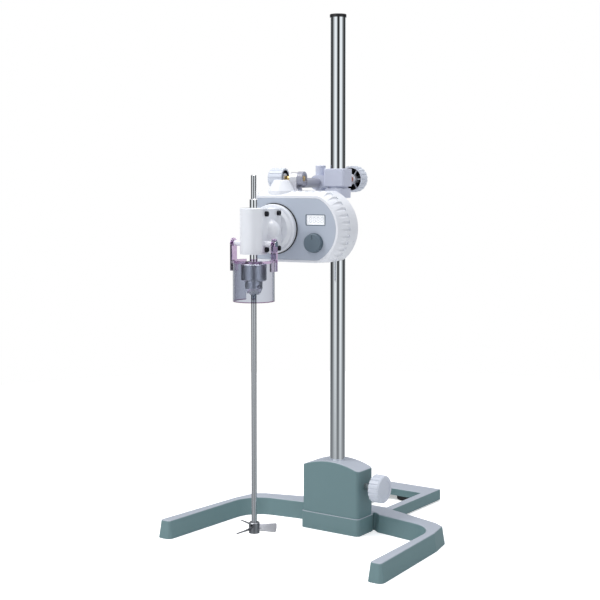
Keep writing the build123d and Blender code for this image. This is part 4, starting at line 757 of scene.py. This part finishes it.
# %% Display frame
display_right = 17.6
display_height = 496
frame_rear = -124.1
frame_corner = 0.0012
frame_thickness = 0.0005
frame_sizes = {"Width": 0.0308, "Height": 0.0155, "Band": 0.0012}
frame_tree, frame_in, frame_out = shape_tree("display_frame", frame_sizes)
outline = add_node(
    frame_tree,
    "GeometryNodeCurvePrimitiveQuadrilateral",
    {"Width": frame_in.outputs["Width"], "Height": frame_in.outputs["Height"]},
)
rounded = add_node(
    frame_tree,
    "GeometryNodeFilletCurve",
    {"Curve": outline.outputs[0], "Count": 6, "Radius": frame_corner},
    mode="POLY",
)
band = add_node(
    frame_tree,
    "GeometryNodeCurvePrimitiveQuadrilateral",
    {"Width": frame_in.outputs["Band"], "Height": frame_thickness},
)
framed = add_node(
    frame_tree,
    "GeometryNodeCurveToMesh",
    {"Curve": rounded.outputs[0], "Profile Curve": band.outputs[0]},
)
close_tree(frame_tree, framed.outputs["Mesh"], frame_out, dial_slate)
bake_shape(
    "display_frame",
    frame_tree,
    frame_sizes,
    on_front(display_right, frame_rear, display_height),
    "head",
)

# %% [markdown]
# ## Display digits
# Behind the window, four digits show as pale unlit segments. They could be text, but no typeface
# has the shape of unlit segments. One segment is a stretched hexagon, seven of them make a digit,
# and a row of points carries the digits.

# %% One segment
segment_length = 0.0034
segment_width = 0.0007
digit_pitch = 0.0062
digits_tree, digits_in, digits_out = shape_tree(
    "display_digits", {"Segment": segment_length, "Pitch": digit_pitch}
)
hexagon = add_node(
    digits_tree, "GeometryNodeMeshCircle", {"Vertices": 6, "Radius": 0.5}, fill_type="NGON"
)
stretch = add_node(
    digits_tree,
    "ShaderNodeCombineXYZ",
    {0: digits_in.outputs["Segment"], 1: segment_width, 2: 1.0},
)
bar = add_node(
    digits_tree,
    "GeometryNodeTransform",
    {"Geometry": hexagon.outputs["Mesh"], "Scale": stretch.outputs[0]},
)
print("a segment is", segment_length * 1000, "by", segment_width * 1000, "mm")

# %% Seven segments make a digit
segment_spacing = 1.12
segment_places = [
    (0, -1, 0),
    (0, 0, 0),
    (0, 1, 0),
    (-0.5, -0.5, 1),
    (0.5, -0.5, 1),
    (-0.5, 0.5, 1),
    (0.5, 0.5, 1),
]
digit_parts = add_node(digits_tree, "GeometryNodeJoinGeometry")
for across, up, quarter_turns in segment_places:
    spot = vector_step(
        digits_tree,
        "MULTIPLY",
        (across * segment_spacing, up * segment_spacing, 0.0),
        digits_in.outputs["Segment"],
    )
    set_bar = add_node(
        digits_tree,
        "GeometryNodeTransform",
        {
            "Geometry": bar.outputs[0],
            "Translation": spot,
            "Rotation": (0.0, 0.0, quarter_turns * math.pi / 2),
        },
    )
    digits_tree.links.new(set_bar.outputs[0], digit_parts.inputs[0])
print("segments in a digit:", len(segment_places))

# %% A row of digits
digit_count = 4
digits_rear = -121.1
step = add_node(digits_tree, "ShaderNodeCombineXYZ", {0: digits_in.outputs["Pitch"]})
first = add_node(
    digits_tree,
    "ShaderNodeVectorMath",
    {0: step.outputs[0], "Scale": -(digit_count - 1) / 2},
    operation="SCALE",
)
row = add_node(
    digits_tree,
    "GeometryNodeMeshLine",
    {"Count": digit_count, "Start Location": first.outputs[0], "Offset": step.outputs[0]},
)
digits = add_node(
    digits_tree,
    "GeometryNodeInstanceOnPoints",
    {"Points": row.outputs[0], "Instance": digit_parts.outputs[0]},
)
close_tree(digits_tree, digits.outputs[0], digits_out, segment_grey)
bake_shape(
    "display_digits",
    digits_tree,
    {"Segment": segment_length},
    on_front(display_right, digits_rear, display_height),
    "head",
)

# %% [markdown]
# ## Floor
# A white floor catches the soft shadow under the stand. A sheet curved up behind the stirrer
# would show a horizon from some sides. A pale disc that ends in a pale world shows none. A faint
# glow, seen by the camera alone, lifts the paper to the white of the world, and the disc is left
# out of reflections so that polished metal mirrors the studio instead.

# %% Floor
floor_radius = 1.6
paper_glow = 0.42
floor_mesh = bpy.data.meshes.new("studio_floor")
floor_builder = bmesh.new()
bmesh.ops.create_circle(floor_builder, cap_ends=True, segments=96, radius=floor_radius)
floor_builder.to_mesh(floor_mesh)
floor_builder.free()
floor = bpy.data.objects.new("studio_floor", floor_mesh)
bpy.context.scene.collection.objects.link(floor)
floor_paper, paper_tree, paper_shader = new_finish("floor_paper")
paper_shader.inputs["Base Color"].default_value = (0.93, 0.93, 0.93, 1.0)
paper_shader.inputs["Roughness"].default_value = 0.9
paper_shader.inputs["Emission Color"].default_value = (1.0, 1.0, 1.0, 1.0)
paper_ray = add_node(paper_tree, "ShaderNodeLightPath").outputs["Is Camera Ray"]
glow = number_step(paper_tree, "MULTIPLY", paper_ray, paper_glow)
paper_tree.links.new(glow, paper_shader.inputs["Emission Strength"])
floor_mesh.materials.append(floor_paper)
floor.visible_glossy = False
print("floor radius in metres:", floor_radius)

# %% [markdown]
# ## Studio walls
# Polished metal only looks like metal when it has something dark to mirror. Real studios stand
# black and white cards round the object. Cards would have to be kept out of every view, so the
# world holds them instead, as a ramp of tones round the horizon with a pale ceiling and a grey
# floor. Only reflections see it. The camera and clear plastic see white, and soft light is an
# even grey.

# %% Bearing round the horizon
bpy.context.scene.view_settings.view_transform = "Standard"
world = bpy.data.worlds.new("studio")
bpy.context.scene.world = world
world.use_nodes = True
sky = world.node_tree
sky_place = add_node(sky, "ShaderNodeTexCoord").outputs["Generated"]
toward = add_node(sky, "ShaderNodeVectorRotate", {"Vector": sky_place, "Angle": -camera_turn})
sky_parts = add_node(sky, "ShaderNodeSeparateXYZ", {0: toward.outputs[0]})
sky_height = sky_parts.outputs["Z"]
front = number_step(sky, "MULTIPLY", sky_parts.outputs["Y"], -1.0)
bearing = number_step(sky, "ARCTAN2", sky_parts.outputs["X"], front)
turn_share = remap(sky, bearing, from_low=-math.pi, from_high=math.pi)
print("bearings count from", round(math.degrees(camera_turn), 2), "degrees")

# %% Cards round the horizon
# Each pair is a bearing in degrees and a brightness.
wall_tones = [
    (-180, 0.03), (-168, 0.4), (-156, 1.0), (-142, 0.6), (-126, 0.02), (-104, 0.01),
    (-88, 0.12), (-66, 0.5), (-50, 1.0), (-28, 1.1), (-15, 0.4), (-5, 0.01),
    (10, 0.02), (20, 0.35), (32, 1.1), (50, 1.1), (66, 0.5), (86, 0.12),
    (104, 0.01), (126, 0.02), (142, 0.6), (156, 1.0), (168, 0.4), (180, 0.03),
]
card_tint = (0.96, 1.0, 1.02)
walls = add_node(sky, "ShaderNodeValToRGB", {"Fac": turn_share})
stops = walls.color_ramp.elements
for turn, _ in wall_tones[1:-1]:
    stops.new((turn + 180) / 360)
for stop, (turn, tone) in zip(stops, wall_tones):
    stop.position = (turn + 180) / 360
    stop.color = (*(tone * share for share in card_tint), 1.0)
print("tones round the horizon:", len(stops))

# %% Ceiling and floor of the studio
ceiling_white = (1.0, 1.0, 1.02, 1.0)
floor_grey = (0.36, 0.38, 0.40, 1.0)
overhead = remap(sky, sky_height, from_low=0.35, from_high=0.8, soft_ends=True)
with_ceiling = mix_colours(sky, overhead, walls.outputs["Color"], ceiling_white)
underfoot = remap(
    sky, sky_height, from_low=-0.04, from_high=-0.3, to_high=0.85, soft_ends=True
)
with_floor = mix_colours(sky, underfoot, with_ceiling, floor_grey)
print("ceiling:", ceiling_white[:3], "floor:", floor_grey[:3])

# %% What each kind of ray sees
fill_grey = (0.60, 0.61, 0.63, 1.0)
plain_white = (1.0, 1.0, 1.0, 1.0)
ray = add_node(sky, "ShaderNodeLightPath").outputs
mirrored = number_step(sky, "GREATER_THAN", ray["Glossy Depth"], 0.5)
soft_or_sharp = mix_colours(sky, mirrored, fill_grey, with_floor)
clear_way = number_step(sky, "MAXIMUM", ray["Is Camera Ray"], ray["Is Transmission Ray"])
seen_direct = number_step(sky, "SUBTRACT", clear_way, mirrored, clamp=True)
seen = mix_colours(sky, seen_direct, soft_or_sharp, plain_white)
sky.links.new(seen, sky.nodes["Background"].inputs["Color"])
print("the world has", len(sky.nodes), "nodes")

# %% [markdown]
# ## Lamps
# A large soft lamp hangs to the upper left and gives the white head its shading, and a weaker one
# above the stirrer lights the tops. The right side has none, so it stays darker. One bright lamp
# would do for light alone, but a softbox leaves wide, calm highlights on enamel.

# %% Lamps
def soft_lamp(name, place, aim, size, watts, colour):
    """A square softbox that hangs at place and faces aim."""
    data = bpy.data.lights.new(name, "AREA")
    data.size = size
    data.energy = watts
    data.color = colour
    lamp = bpy.data.objects.new(name, data)
    bpy.context.scene.collection.objects.link(lamp)
    lamp.location = place
    lamp.rotation_mode = "QUATERNION"
    lamp.rotation_quaternion = (Vector(aim) - Vector(place)).to_track_quat("-Z", "Y")
    print(name, "gives", watts, "watts")


soft_lamp(
    "key_softbox",
    place=(-0.9, -1.2, 2.1),
    aim=(0.0, 0.0, 0.35),
    size=1.2,
    watts=28,
    colour=(1.0, 0.99, 0.98),
)
soft_lamp(
    "top_softbox",
    place=(0.2, 0.2, 2.3),
    aim=(0.0, 0.0, 0.3),
    size=1.0,
    watts=17,
    colour=(0.98, 0.97, 1.0),
)
